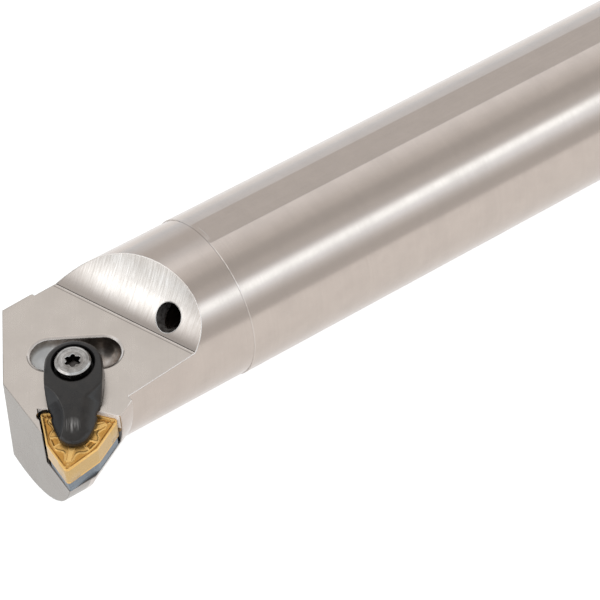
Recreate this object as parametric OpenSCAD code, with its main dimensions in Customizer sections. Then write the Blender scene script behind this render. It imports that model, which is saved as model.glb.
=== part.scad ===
// Indexable internal turning bar, left hand, with a trigon insert held by a top clamp.
// The bar axis is the X axis. The cutting head points to -X and the rake face looks up, to +Z.
// The origin is on the bar axis at the front end of the full diameter shank.

/* [Shank] */
// Diameter of the round shank
shank_d = 38.1; // [37.9:0.1:42]
// Length from the cutting point to the rear end
overall_length = 355.6; // [200:0.1:450]
// Depth of each clamping flat below the round
flat_depth = 0.37; // [0.3:0.01:2]
// Chamfer round the rear end
rear_chamfer = 1.5; // [0.5:0.1:3]

/* [Neck] */
// Diameter of the turned neck between shank and head
neck_d = 37.7; // [37:0.1:37.8]
// Length of the neck from the shank to the head
neck_length = 33; // [32:0.1:34]

/* [Cutting point] */
// Distance from the front of the shank to the cutting point
tip_reach = 53.87; // [53:0.01:55]
// Distance from the bar axis to the cutting point
tip_offset = 25.4; // [25:0.01:26]
// Slope of the rake face along the bar
axial_rake = 5; // [4:0.5:6]
// Slope of the rake face across the bar
radial_rake = 5; // [4:0.5:6]

/* [Insert] */
// Diameter of the circle that the insert's sides touch
insert_ic = 12.7; // [12:0.01:13]
// Thickness of the insert
insert_t = 4.76; // [4:0.01:5.5]
// Radius of each cutting nose
nose_r = 0.8; // [0.4:0.1:1]
// Diameter of the hole through the insert
insert_hole_d = 5.16; // [5:0.01:5.4]
// Width of the land along the cutting edge
edge_land = 0.3; // [0.2:0.05:0.4]
// Width of the slope behind the land
chip_slope_w = 0.9; // [0.6:0.05:1.2]
// Depth of the chip groove
chip_depth = 0.3; // [0.1:0.05:0.4]
// Diameter of the plateau round the hole, level with the land
plateau_d = 7.6; // [7:0.1:8]
// Distance of the nose ribs' ends from the insert's centre
nose_rib_reach = 7; // [6:0.1:7.2]
// Distance of the side ribs' ends from the insert's centre
side_rib_reach = 4.7; // [4.4:0.1:5]
// Width of each rib
rib_w = 0.7; // [0.5:0.05:0.9]
// Angle from each blunt corner to the side ribs next to it
side_rib_angle = 14; // [10:1:18]
// Distance of the nose bumps from the insert's centre
bump_reach = 7.5; // [7.4:0.05:7.6]
// Radius of the nose bumps
bump_r = 0.25; // [0.15:0.05:0.3]

/* [Shim] */
// Thickness of the shim under the insert
shim_t = 3.18; // [2.4:0.01:3.6]
// Distance of the shim's sides inside those of the insert
shim_inset = 0.4; // [0.2:0.05:0.6]
// Thread diameter of the shim screw
shim_screw_d = 3.5; // [3:0.1:4]
// Length of the shim screw
shim_screw_length = 9; // [7:0.1:10]

/* [Head] */
// Diameter of the head, which is turned off the bar's centre
head_d = 45; // [44.4:0.1:45.4]
// Distance of the head's centre from the bar axis, towards the cutting point
head_offset = 3.3; // [3:0.1:3.6]
// Height of the head's centre over the bar axis
head_rise = 0.5; // [0.2:0.1:0.8]
// Angle of the cone that relieves the head behind the insert
relief_angle = 25; // [23:0.5:27]
// Distance of the relief cone's centre from the bar axis, towards the cutting point
relief_offset = 0.6; // [0.4:0.1:0.8]
// Height of the relief cone's centre over the bar axis
relief_rise = 1.8; // [1.6:0.1:2]
// Radius of the relief cone where it meets the neck
relief_r = 19.35; // [19.2:0.05:19.5]
// Height of the rake face over the insert
face_height = 1.4; // [1.2:0.05:1.6]
// Distance of the front face behind the cutting edge
front_gap = 0.45; // [0.3:0.05:0.7]
// Angle of the front face across the bar
front_angle = 3.5; // [3:0.5:4.5]
// Angle by which the front face leans back below the edge
front_lean = 3.7; // [3:0.1:4.5]
// Distance behind the cutting point where the far chamfer starts
chamfer_back = 2; // [1.5:0.1:3]
// Sideways place where the far chamfer starts
chamfer_side = 1.4; // [0:0.1:3]
// Angle of the far chamfer to the bar axis
chamfer_angle = 57; // [54:1:60]

/* [Run-out] */
// Distance from the cutting point to the end of the rake face, on the bar axis
runout_reach = 32.8; // [32:0.1:34]
// Angle of that end across the bar
runout_angle = 19.6; // [17:0.1:22]
// Radius of the cutter that sweeps up out of the rake face
runout_r = 30; // [28:1:45]
// Slope of the swept face where it leaves the rake face
runout_slope = 37; // [35:1:40]

/* [Pocket] */
// Gap between the insert and the two walls it seats on
seat_gap = 0.02; // [0.01:0.01:0.05]
// Gap between the insert and the wall beside the front face
side_gap = 0.4; // [0.3:0.05:0.6]
// Diameter of the relief hole at the pocket's front corner
relief_hole_d = 2.6; // [2.4:0.1:3]
// Distance of the relief hole's centre towards the side wall
relief_hole_shift = 0.35; // [0.2:0.05:0.5]
// Distance of the relief hole's centre towards the front
relief_hole_forward = 1; // [0.5:0.1:1.2]

/* [Clamp] */
// Angle of the clamp to the bar axis, seen on the rake face
clamp_angle = 55; // [53:1:57]
// Width of the clamp
clamp_w = 12.7; // [12.4:0.1:13]
// Radius of the clamp's bowed sides
clamp_side_r = 36; // [33:1:40]
// Distance from the insert's centre to the widest place of the clamp
clamp_waist = 13; // [12.6:0.1:13.4]
// Distance from the insert's centre to the tip of the nose
nose_reach = 3.4; // [3.2:0.1:4]
// Radius of the nose in plan
nose_round = 3.75; // [3.5:0.05:4]
// Height of the clamp over the insert, at its highest place
clamp_height = 6.15; // [6:0.05:6.6]
// Radius of the clamp's back, along the clamp
clamp_back_r = 60; // [50:1:80]
// Distance from the insert's centre to the highest place of the back
clamp_back_peak = 20; // [19:0.1:21]
// Radius that rounds the clamp's upper edge
clamp_edge_r = 1.3; // [0.8:0.1:1.4]
// Height below the insert of the line that the clamp's nose is turned about
turn_axis_drop = 2; // [1.5:0.1:2.5]
// Radius of the turned nose over the insert's centre
turn_r = 5.05; // [4.8:0.05:5.4]
// Growth of the turned nose's radius along the clamp
turn_growth = 0.31; // [0.25:0.01:0.4]
// Distance from the insert's centre to where the turned nose flares out
turn_flare_start = 6.4; // [6:0.1:7]
// Growth of the flare's radius along the clamp
turn_flare_growth = 0.75; // [0.6:0.05:1]
// Radius that rounds the front end of the turned nose
nose_end_r = 3.2; // [2.9:0.1:3.4]
// Length of the foot of the nose that presses on the insert
nose_foot = 3.2; // [3:0.1:3.6]
// Gap between the clamp and the rake face
clamp_gap = 0.25; // [0.15:0.05:0.4]
// Diameter of the pin under the nose
nose_pin_d = 4; // [3.8:0.1:4.2]
// Length of the pin under the nose
nose_pin_length = 2.6; // [2:0.1:3]
// Distance of the nose pin's centre behind the centre of the insert's hole
nose_pin_back = 0.25; // [0.15:0.05:0.3]

/* [Clamp screw] */
// Distance from the insert's centre to the clamp screw
screw_reach = 14.9; // [14.7:0.1:15.2]
// Thread diameter of the clamp screw
screw_d = 5; // [4.8:0.1:5.2]
// Diameter of the screw's head
screw_head_d = 7.9; // [7.6:0.1:8.2]
// Height of the screw's head
screw_head_h = 3; // [2.8:0.1:3.2]
// Height of the screw head's top over the insert
screw_top = 6.8; // [6.6:0.1:7]
// Length of the screw under its head
screw_length = 16; // [14:0.1:18]
// Diameter of the counterbore in the clamp
counterbore_d = 9; // [8.8:0.1:9.2]
// Width of the six-lobe socket
socket_d = 3.5; // [3.1:0.1:3.6]
// Depth of the six-lobe socket
socket_depth = 1.8; // [1.2:0.1:2.2]

/* [Groove] */
// Distance from the insert's centre to the middle of the groove
groove_reach = 21.05; // [20.9:0.05:21.3]
// Width of the groove
groove_w = 8.5; // [8.3:0.1:8.8]
// Length of the groove
groove_length = 19.8; // [18:0.1:21]
// Height of the groove's upright wall
groove_wall = 1; // [0.8:0.1:1.4]
// Width of the chamfer round the groove's rim
groove_rim_w = 0.6; // [0.3:0.05:0.8]
// Depth of the chamfer round the groove's rim
groove_rim_depth = 0.35; // [0.2:0.05:0.5]
// Gap between the clamp's heel and the groove
heel_gap = 0.3; // [0.2:0.05:0.5]
// Length of the heel along the clamp
heel_length = 2.3; // [2:0.1:2.5]

/* [Spring] */
// Outer diameter of the spring
spring_d = 7.1; // [6.9:0.1:7.3]
// Diameter of the spring's wire
spring_wire_d = 0.7; // [0.5:0.05:0.8]
// Number of working coils
spring_coils = 3; // [2:1:4]
// Depth of the spring's recess below the rake face
recess_depth = 5; // [4.6:0.1:5.4]
// Diameter of the spring's recess
recess_d = 8.2; // [8:0.1:8.4]

/* [Coolant] */
// Diameter of the long coolant bore
coolant_d = 9; // [6:0.5:12]
// Diameter of the outlet in the swept face
outlet_d = 6.1; // [5:0.1:6.4]
// Distance of the outlet's mouth ahead of the shank
outlet_ahead = 15.2; // [14.8:0.1:15.6]
// Sideways place of the outlet's mouth
outlet_side = 8.65; // [8.3:0.05:9]
// Height of the outlet's mouth
outlet_height = 9.25; // [9:0.05:9.6]
// Distance behind the shank's front where the outlet meets the long bore
outlet_depth = 10; // [8:1:40]
// How far to the cutting point's other side of the bore's axis they meet
meeting_side = 2; // [0:0.5:2]
// How far above the bore's axis they meet
meeting_height = 3.5; // [0:0.5:3.5]
// Wall diameter of the threaded inlet at the rear
inlet_d = 11.8; // [11.4:0.1:14]
// Depth of the threaded inlet
inlet_depth = 16; // [12:1:24]
// Chamfer at the inlet's mouth
inlet_chamfer = 1; // [0.5:0.1:1.5]

/* [Clearances] */
// Radial clearance of a screw in its thread
thread_clearance = 0.05; // [0.02:0.01:0.08]
// Radial clearance of the clamp screw in the clamp
screw_clearance = 0.07; // [0.03:0.01:0.1]
// Small chamfer on screws and holes
edge_break = 0.4; // [0.2:0.05:0.5]

/* [Hidden] */
$fn = 96;
shank_r = shank_d / 2;
neck_r = neck_d / 2;
rear_x = overall_length - tip_reach;
reach = 120;

// The trigon's three noses are 80 degree corners, and its other three corners are 160 degrees.
nose_half = 40;
flat_half = 120 - nose_half;
side_turn = 90 - nose_half;
nose_steps = 5;
trigon_corners = [0, 1, 2];
nose_centre_r = (insert_ic / 2 - nose_r) / sin(nose_half);
insert_centre = nose_centre_r * sin(45) + nose_r;
first_nose = 225;
far_nose = first_nose - 120;
near_nose = first_nose + 120;
pocket_depth = insert_t + shim_t;

// Places on the clamp's centre line are measured from the insert's centre.
underside = face_height + clamp_gap;
screw_seat = screw_top - screw_head_h;
recess_floor = face_height - recess_depth;
groove_axis = face_height - groove_wall;
heel_end = screw_reach + clamp_w / 2;
nose_end_past = 0.2;
shim_head_d = 5.8;
shim_head_h = 1.9;
shim_head_drop = 0.15;
shim_hole_deep = shim_screw_length + 1;
screw_hole_floor = screw_seat - screw_length - 1.5;

// Frames

module at_seat() {
  translate([-tip_reach, -tip_offset, 0])
    rotate([radial_rake, 0, 0])
      rotate([0, -axial_rake, 0])
        children();
}

module at_insert() {
  at_seat()
    translate([insert_centre, insert_centre, 0])
      children();
}

module at_clamp() {
  at_insert()
    rotate([0, 0, clamp_angle])
      children();
}

module at_screw() {
  at_clamp()
    translate([screw_reach, 0, 0])
      children();
}

module along_x(from_x) {
  translate([from_x, 0, 0])
    rotate([0, 90, 0])
      children();
}

// Shapes that repeat

module half_space_ahead() {
  translate([-reach, -reach, -reach])
    cube([reach, 2 * reach, 2 * reach]);
}

module half_space_beside() {
  translate([-reach, 0, -reach])
    cube([2 * reach, reach, 2 * reach]);
}

function polar(radius, angle) = [radius * cos(angle), radius * sin(angle)];

// Each nose is an arc of short sides that ends where it meets the two straight sides.
function trigon_points(grow) = [
  for (k = trigon_corners)
    let (a = first_nose + 120 * k)
      each [
        for (step = [-nose_steps:nose_steps])
          polar(nose_centre_r, a) + polar(nose_r + grow, a + side_turn * step / nose_steps),
        polar((insert_ic / 2 + grow) / sin(flat_half), a + 60)
      ]
];

module trigon(grow) {
  polygon(trigon_points(grow));
}

module chamfered_rod(diameter, length, chamfer) {
  rotate_extrude()
    polygon([
      [0, 0],
      [diameter / 2 - chamfer, 0],
      [diameter / 2, chamfer],
      [diameter / 2, length],
      [0, length]
    ]);
}

module stadium(length, width) {
  square([width, length - width], center = true);
  for (side = [-1, 1])
    translate([0, side * (length - width) / 2])
      circle(d = width);
}

module six_lobe(width) {
  lobe_r = width * 0.13;
  circle(r = width * 0.39);
  for (k = [0:5])
    rotate(60 * k)
      translate([width / 2 - lobe_r, 0])
        circle(r = lobe_r, $fn = 24);
}

// Bar

module shank() {
  difference() {
    rotate([0, 90, 0])
      rotate_extrude($fn = 180)
        polygon([
          [0, 0],
          [shank_r, 0],
          [shank_r, rear_x - rear_chamfer],
          [shank_r - rear_chamfer, rear_x],
          [0, rear_x]
        ]);
    for (side = [0, 1])
      mirror([0, 0, side])
        translate([-reach, -reach, shank_r - flat_depth])
          cube([rear_x + 2 * reach, 2 * reach, reach]);
  }
}

module relief_cone() {
  cone_length = reach / 2;
  translate([0, -relief_offset, relief_rise])
    along_x(-neck_length - cone_length)
      cylinder(
        h = cone_length,
        r1 = relief_r + cone_length * tan(relief_angle),
        r2 = relief_r,
        $fn = 180
      );
}

module head_blank() {
  intersection() {
    translate([0, -head_offset, head_rise])
      along_x(-neck_length - reach / 2)
        cylinder(h = reach / 2, d = head_d, $fn = 180);
    relief_cone();
  }
}

module runout_profile() {
  translate([-reach, 0])
    square([reach, reach]);
  intersection() {
    translate([-runout_r * sin(runout_slope), runout_r * cos(runout_slope)])
      circle(r = runout_r, $fn = 180);
    translate([-reach, 0])
      square([2 * reach, reach]);
  }
}

module above_rake_face() {
  at_seat()
    translate([runout_reach, tip_offset, face_height])
      rotate([0, 0, runout_angle])
        rotate([90, 0, 0])
          linear_extrude(height = 2 * reach, center = true)
            runout_profile();
}

module ahead_of_front() {
  at_seat()
    translate([front_gap, 0, face_height])
      rotate([0, axial_rake - front_lean, 0])
        rotate([0, 0, -front_angle])
          half_space_ahead();
}

module beyond_chamfer() {
  translate([chamfer_back - tip_reach, chamfer_side, 0])
    rotate([0, 0, chamfer_angle])
      half_space_beside();
}

module pocket_plan() {
  wall_rear = insert_ic / 2 + seat_gap;
  wall_side = insert_ic / 2 + side_gap;
  // Each wall is the edge of a half plane at its own distance from the insert's centre.
  intersection() {
    rotate(far_nose - side_turn)
      translate([-reach, -reach])
        square([reach + wall_rear, 2 * reach]);
    rotate(near_nose + side_turn)
      translate([-reach, -reach])
        square([reach + wall_rear, 2 * reach]);
    rotate(far_nose + side_turn)
      translate([-reach, -reach])
        square([reach + wall_side, 2 * reach]);
  }
}

module relief_hole() {
  wall = far_nose + side_turn;
  translate(polar(nose_centre_r, far_nose) + polar(relief_hole_shift, wall) + polar(relief_hole_forward, wall + 90))
    circle(d = relief_hole_d, $fn = 48);
}

module pocket() {
  at_insert()
    translate([0, 0, -pocket_depth])
      linear_extrude(height = pocket_depth + reach) {
        pocket_plan();
        relief_hole();
      }
}

// The rim is cut a little past the rake face, and keeps its slope there.
module groove_rim() {
  straight = groove_length - groove_w;
  slope = groove_rim_w / groove_rim_depth;
  floor_r = groove_w / 2;
  past = 1;
  top_r = floor_r + slope * (groove_rim_depth + past);
  translate([0, 0, face_height - groove_rim_depth]) {
    rotate([90, 0, 0])
      linear_extrude(height = straight, center = true)
        polygon([
          [-floor_r, 0],
          [floor_r, 0],
          [top_r, groove_rim_depth + past],
          [-top_r, groove_rim_depth + past]
        ]);
    for (side = [-1, 1])
      translate([0, side * straight / 2, 0])
        cylinder(h = groove_rim_depth + past, r1 = floor_r, r2 = top_r);
  }
}

module groove() {
  at_clamp()
    translate([groove_reach, 0, 0]) {
      groove_rim();
      translate([0, 0, groove_axis])
        linear_extrude(height = reach)
          stadium(groove_length, groove_w);
      translate([0, 0, groove_axis]) {
        rotate([90, 0, 0])
          cylinder(h = groove_length - groove_w, d = groove_w, center = true);
        for (side = [-1, 1])
          translate([0, side * (groove_length - groove_w) / 2, 0])
            sphere(d = groove_w);
      }
    }
}

module screw_holes() {
  at_screw() {
    translate([0, 0, recess_floor])
      cylinder(h = recess_depth + reach, d = recess_d);
    translate([0, 0, screw_hole_floor])
      cylinder(h = reach, r = screw_d / 2 + thread_clearance);
  }
  at_insert()
    translate([0, 0, -pocket_depth - shim_hole_deep + shim_t])
      cylinder(h = reach, r = shim_screw_d / 2 + thread_clearance);
}

module coolant_passage() {
  mouth = [-outlet_ahead, -outlet_side, outlet_height];
  meeting = [outlet_depth, meeting_side, meeting_height];
  run = mouth - meeting;
  turn = atan2(run[1], run[0]);
  fall = acos(run[2] / norm(run));
  along_x(outlet_depth - coolant_d / 2)
    cylinder(h = rear_x - outlet_depth + coolant_d, d = coolant_d);
  translate(meeting)
    rotate([0, 0, turn])
      rotate([0, fall, 0])
        cylinder(h = norm(run) + outlet_d * 2, d = outlet_d);
  along_x(rear_x - inlet_depth)
    cylinder(h = inlet_depth + 1, d = inlet_d);
  along_x(rear_x - inlet_chamfer)
    cylinder(h = 2 * inlet_chamfer, r1 = inlet_d / 2, r2 = inlet_d / 2 + 2 * inlet_chamfer);
}

module bar() {
  color("silver")
    difference() {
      union() {
        shank();
        along_x(-tip_reach)
          cylinder(h = tip_reach + 1, r = neck_r, $fn = 180);
        head_blank();
      }
      above_rake_face();
      ahead_of_front();
      beyond_chamfer();
      pocket();
      groove();
      screw_holes();
      coolant_passage();
    }
}

// Seat

module shim() {
  hole_r = shim_screw_d / 2 + screw_clearance;
  head_r = shim_head_d / 2 + screw_clearance;
  color("slategray")
    at_insert()
      translate([0, 0, -pocket_depth])
        difference() {
          linear_extrude(height = shim_t)
            trigon(-shim_inset);
          translate([0, 0, -1])
            cylinder(h = shim_t + 2, r = hole_r);
          translate([0, 0, shim_t - shim_head_h - shim_head_drop])
            cylinder(h = shim_head_h, r1 = hole_r, r2 = head_r);
          translate([0, 0, shim_t - shim_head_drop])
            cylinder(h = 1, r = head_r);
        }
}

module shim_screw() {
  top = -insert_t - shim_head_drop;
  color("dimgray")
    at_insert()
      difference() {
        translate([0, 0, top - shim_screw_length])
          union() {
            chamfered_rod(shim_screw_d, shim_screw_length - shim_head_h, edge_break);
            translate([0, 0, shim_screw_length - shim_head_h])
              cylinder(h = shim_head_h, r1 = shim_screw_d / 2, r2 = shim_head_d / 2);
          }
        translate([0, 0, top - 1.2])
          linear_extrude(height = 2)
            six_lobe(2.8);
      }
}

// Deeper inside than the nose radius the outline's corners are sharp.
function sharp_points(inset) = [
  for (k = trigon_corners)
    let (a = first_nose + 120 * k)
      each [
        polar(nose_centre_r + (nose_r - inset) / sin(nose_half), a),
        polar((insert_ic / 2 - inset) / sin(flat_half), a + 60)
      ]
];

module chip_basin() {
  hull() {
    linear_extrude(height = 1)
      trigon(-edge_land);
    translate([0, 0, -chip_depth])
      linear_extrude(height = 0.01)
        polygon(sharp_points(edge_land + chip_slope_w));
  }
}

module rib(far_end) {
  polygon([
    [0, -rib_w / 2],
    [far_end - rib_w, -rib_w / 2],
    [far_end, -rib_w / 4],
    [far_end, rib_w / 4],
    [far_end - rib_w, rib_w / 2],
    [0, rib_w / 2]
  ]);
}

module chip_former() {
  difference() {
    chip_basin();
    translate([0, 0, -1])
      linear_extrude(height = 1) {
        circle(d = plateau_d);
        for (k = trigon_corners) {
          rotate(first_nose + 120 * k)
            rib(nose_rib_reach);
          for (side = [-1, 1])
            rotate(first_nose + 120 * k + 60 + side * side_rib_angle)
              rib(side_rib_reach);
        }
      }
    for (k = trigon_corners)
      rotate([0, 0, first_nose + 120 * k])
        translate([bump_reach, 0, -chip_depth])
          sphere(r = bump_r);
  }
}

module insert() {
  color("goldenrod")
    at_insert()
      difference() {
        translate([0, 0, -insert_t])
          linear_extrude(height = insert_t)
            trigon(0);
        translate([0, 0, -insert_t - 1])
          cylinder(h = insert_t + 2, d = insert_hole_d);
        chip_former();
        translate([0, 0, -insert_t])
          mirror([0, 0, 1])
            chip_former();
      }
}

// Clamp

module clamp_plan() {
  intersection() {
    intersection_for(side = [-1, 1])
      translate([clamp_waist, side * (clamp_w / 2 - clamp_side_r)])
        circle(r = clamp_side_r, $fn = 180);
    union() {
      translate([nose_round - nose_reach, 0])
        circle(r = nose_round);
      translate([nose_round - nose_reach, -clamp_w])
        square([screw_reach - nose_round + nose_reach, 2 * clamp_w]);
      translate([screw_reach, 0])
        circle(d = clamp_w);
    }
  }
}

// The plan stands upright to its shoulder, and the rounded edge above it is a stack of smaller plans.
module rounded_plan() {
  shoulder = clamp_height - clamp_edge_r;
  hull() {
    translate([0, 0, groove_axis - groove_w])
      linear_extrude(height = shoulder + groove_w - groove_axis)
        clamp_plan();
    for (turn = [30:30:90])
      translate([0, 0, shoulder + clamp_edge_r * sin(turn)])
        linear_extrude(height = 0.01)
          offset(delta = -clamp_edge_r * (1 - cos(turn)))
            clamp_plan();
  }
}

module heel_profile() {
  intersection() {
    translate([groove_reach, groove_axis])
      circle(d = groove_w - 2 * heel_gap);
    translate([heel_end - heel_length, groove_axis - groove_w])
      square([heel_length + 1, groove_w + underside]);
  }
}

// Seen from the side, the back is one long arc, and the foot and the heel reach down at the two ends.
module side_profile() {
  intersection() {
    translate([clamp_back_peak, clamp_height - clamp_back_r])
      circle(r = clamp_back_r, $fn = 360);
    union() {
      translate([-clamp_w, underside])
        square([4 * clamp_w, clamp_height]);
      translate([-clamp_w, 0])
        square([clamp_w + nose_foot, clamp_height]);
      heel_profile();
    }
  }
}

// The nose is turned about a line under the clamp. Its front end is round, and it flares out ahead of the screw.
module turned_nose() {
  front = -nose_reach - nose_end_past;
  round_x = front + nose_end_r;
  round_r = turn_r + turn_growth * round_x - nose_end_r;
  flare_r = turn_r + turn_growth * turn_flare_start;
  end_r = flare_r + turn_flare_growth * clamp_w;
  translate([0, 0, -turn_axis_drop])
    rotate([0, 90, 0])
      rotate_extrude($fn = 180)
        polygon([
          [0, front],
          for (turn = [-90:15:0])
            [round_r, round_x] + polar(nose_end_r, turn),
          [flare_r, turn_flare_start],
          [end_r, turn_flare_start + clamp_w],
          [2 * clamp_w, turn_flare_start + clamp_w],
          [2 * clamp_w, heel_end + 1],
          [0, heel_end + 1]
        ]);
}

module clamp() {
  color([0.2, 0.2, 0.2])
    at_clamp()
      difference() {
        union() {
          intersection() {
            rounded_plan();
            rotate([90, 0, 0])
              linear_extrude(height = 4 * clamp_w, center = true)
                side_profile();
            turned_nose();
          }
          translate([nose_pin_back, 0, -nose_pin_length])
            chamfered_rod(nose_pin_d, nose_pin_length + 0.5, edge_break);
        }
        translate([screw_reach, 0, screw_seat])
          cylinder(h = reach, d = counterbore_d);
        translate([screw_reach, 0, -reach])
          cylinder(h = 2 * reach, r = screw_d / 2 + screw_clearance);
      }
}

module clamp_screw() {
  color("lightgray")
    at_screw()
      translate([0, 0, screw_seat])
        difference() {
          union() {
            translate([0, 0, -screw_length])
              chamfered_rod(screw_d, screw_length, edge_break);
            cylinder(h = screw_head_h - edge_break, d = screw_head_d);
            translate([0, 0, screw_head_h - edge_break])
              cylinder(h = edge_break, r1 = screw_head_d / 2, r2 = screw_head_d / 2 - edge_break);
          }
          translate([0, 0, screw_head_h - socket_depth])
            linear_extrude(height = socket_depth + 1)
              six_lobe(socket_d);
        }
}

// Spring

spring_height = underside - recess_floor;
spring_mean_r = (spring_d - spring_wire_d) / 2;
spring_turns = spring_coils + 2;
ring_sides = 8;
rings_per_turn = 20;

// The end coils lie flat and the coils between them rise evenly.
function spring_rise(turn) =
  let (climb = min(max(turn - 0.75, 0), spring_turns - 1.5) / (spring_turns - 1.5))
    spring_wire_d / 2 + climb * (spring_height - spring_wire_d);

function spring_ring(turn) = [
  for (k = [0:ring_sides - 1])
    let (
      a = 360 * turn,
      b = 360 * k / ring_sides,
      r = spring_mean_r + spring_wire_d / 2 * cos(b)
    )
      [r * cos(a), r * sin(a), spring_rise(turn) + spring_wire_d / 2 * sin(b)]
];

module spring_body() {
  steps = spring_turns * rings_per_turn;
  points = [for (i = [0:steps]) each spring_ring(i / rings_per_turn)];
  sides = [
    for (i = [0:steps - 1], k = [0:ring_sides - 1])
      let (n = (k + 1) % ring_sides, a = i * ring_sides, b = a + ring_sides)
        [a + k, b + k, b + n, a + n]
  ];
  first_cap = [for (k = [0:ring_sides - 1]) k];
  last_cap = [for (k = [ring_sides - 1:-1:0]) steps * ring_sides + k];
  polyhedron(points, concat([first_cap], sides, [last_cap]));
}

module clamp_spring() {
  color("gray")
    at_screw()
      translate([0, 0, recess_floor])
        spring_body();
}

bar();
shim();
shim_screw();
insert();
clamp();
clamp_screw();
clamp_spring();
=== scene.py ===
# %% [markdown]
# # A boring bar with a clamped insert
# The object is a round steel bar, about 356 mm long, that turns the inside of a hole. Its head carries a gold
# coated insert under a black clamp. All sizes are in metres, unless a cell says that it draws in millimetres.

# %% Load the measured solids
import math

import bmesh
import bpy
from mathutils import Matrix, Vector


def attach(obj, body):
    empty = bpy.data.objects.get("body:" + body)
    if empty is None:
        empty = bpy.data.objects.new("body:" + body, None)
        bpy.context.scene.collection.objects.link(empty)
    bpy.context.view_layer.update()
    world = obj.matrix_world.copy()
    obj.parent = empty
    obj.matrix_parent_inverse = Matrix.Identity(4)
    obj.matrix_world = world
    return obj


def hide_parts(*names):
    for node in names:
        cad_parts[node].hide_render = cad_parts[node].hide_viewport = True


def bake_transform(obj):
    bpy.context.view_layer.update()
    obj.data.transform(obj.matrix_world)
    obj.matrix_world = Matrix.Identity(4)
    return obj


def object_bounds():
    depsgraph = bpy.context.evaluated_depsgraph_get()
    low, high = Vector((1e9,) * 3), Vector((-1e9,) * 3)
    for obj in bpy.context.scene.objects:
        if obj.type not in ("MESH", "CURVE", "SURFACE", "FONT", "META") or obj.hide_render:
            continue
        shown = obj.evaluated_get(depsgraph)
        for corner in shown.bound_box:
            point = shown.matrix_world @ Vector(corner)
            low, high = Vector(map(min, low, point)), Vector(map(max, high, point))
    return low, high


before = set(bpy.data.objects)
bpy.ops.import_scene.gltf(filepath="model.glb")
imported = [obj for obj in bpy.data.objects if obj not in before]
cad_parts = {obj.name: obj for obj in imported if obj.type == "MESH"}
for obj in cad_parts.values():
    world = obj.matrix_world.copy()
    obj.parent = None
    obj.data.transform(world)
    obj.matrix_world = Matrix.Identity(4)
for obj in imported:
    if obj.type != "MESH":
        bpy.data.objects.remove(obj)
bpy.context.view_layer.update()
print("nodes:", sorted(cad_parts))

# %% [markdown]
# ## Camera
# The camera stands to the left of the head and above it, some 63 cm away, with a long lens that keeps the
# bar's edges nearly parallel. Its place and its two directions were found from the edges of the real bar.

# %% Camera
CAMERA_PLACE = Vector((-0.25901, -0.39862, 0.44042))
CAMERA_RIGHT = Vector((0.79807, -0.60194, -0.02724)).normalized()
CAMERA_BACK = Vector((-0.42566, -0.59520, 0.68158)).normalized()
SENSOR = 36.0
LENS = 174.86
NEAREST, FARTHEST = 0.02, 20.0


def put_in_scene(name, data):
    made = bpy.data.objects.new(name, data)
    bpy.context.scene.collection.objects.link(made)
    return made


def place_camera():
    lens = bpy.data.cameras.new("studio_camera")
    lens.sensor_width = SENSOR
    lens.lens = LENS
    lens.clip_start = NEAREST
    lens.clip_end = FARTHEST
    camera = put_in_scene("studio_camera", lens)
    up = CAMERA_BACK.cross(CAMERA_RIGHT)
    turn = Matrix((CAMERA_RIGHT, up, CAMERA_BACK)).transposed()
    camera.matrix_world = Matrix.Translation(CAMERA_PLACE) @ turn.to_4x4()
    bpy.context.scene.camera = camera
    return camera


print("camera at", tuple(place_camera().location))
bpy.context.scene.view_settings.view_transform = "Standard"

# %% [markdown]
# ## Where the small pieces sit
# The insert lies in a pocket that leans 5 degrees along the bar and 5 degrees across it. The clamp lies on
# the same slope, turned 55 degrees, and its screw stands square to it. Four matrices hold these places, so
# each small piece can be drawn flat and upright about its own centre, and then be carried to its place.

# %% Seat, insert, clamp and screw frames
MM = 0.001
CUTTING_POINT = Vector((-53.87, -25.4, 0.0)) * MM
RAKE = math.radians(5)
INSERT_CENTRE = 6.905 * MM
CLAMP_TURN = math.radians(55)
SCREW_REACH = 14.9 * MM
FACE_HEIGHT = 1.4 * MM

seat_frame = (
    Matrix.Translation(CUTTING_POINT)
    @ Matrix.Rotation(RAKE, 4, "X")
    @ Matrix.Rotation(-RAKE, 4, "Y")
)
insert_frame = seat_frame @ Matrix.Translation((INSERT_CENTRE, INSERT_CENTRE, 0))
clamp_frame = insert_frame @ Matrix.Rotation(CLAMP_TURN, 4, "Z")
screw_frame = clamp_frame @ Matrix.Translation((SCREW_REACH, 0, 0))
face_normal = seat_frame.to_3x3() @ Vector((0, 0, 1))
print("the rake face points to", tuple(round(v, 4) for v in face_normal))

# %% [markdown]
# ## Helpers for node trees
# Every finish below is a small tree of shader nodes. Short helpers keep the trees readable: one adds a node
# and fills its inputs, a few do arithmetic or mix colours, and one starts a material with its surface shader.


# %% Node helpers
def fill(tree, made, inputs):
    """Put plain values or other nodes' outputs into a node's inputs, told by name or number."""
    for name, value in inputs.items():
        if isinstance(value, bpy.types.NodeSocket):
            tree.links.new(value, made.inputs[name])
        else:
            made.inputs[name].default_value = value


def add(tree, kind, inputs=None, **settings):
    made = tree.nodes.new(kind)
    for name, value in settings.items():
        setattr(made, name, value)
    fill(tree, made, inputs or {})
    return made


def calc(tree, operation, *values):
    return add(tree, "ShaderNodeMath", dict(enumerate(values)), operation=operation).outputs[0]


def times(tree, first, *others):
    """The product. Of masks, it is 1 only where all of them are."""
    for other in others:
        first = calc(tree, "MULTIPLY", first, other)
    return first


def largest(tree, first, *others):
    for other in others:
        first = calc(tree, "MAXIMUM", first, other)
    return first


def weighed(tree, *parts):
    """Add up values, each times its share."""
    total = 0.0
    for value, share in parts:
        total = calc(tree, "MULTIPLY_ADD", value, share, total)
    return total


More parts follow.
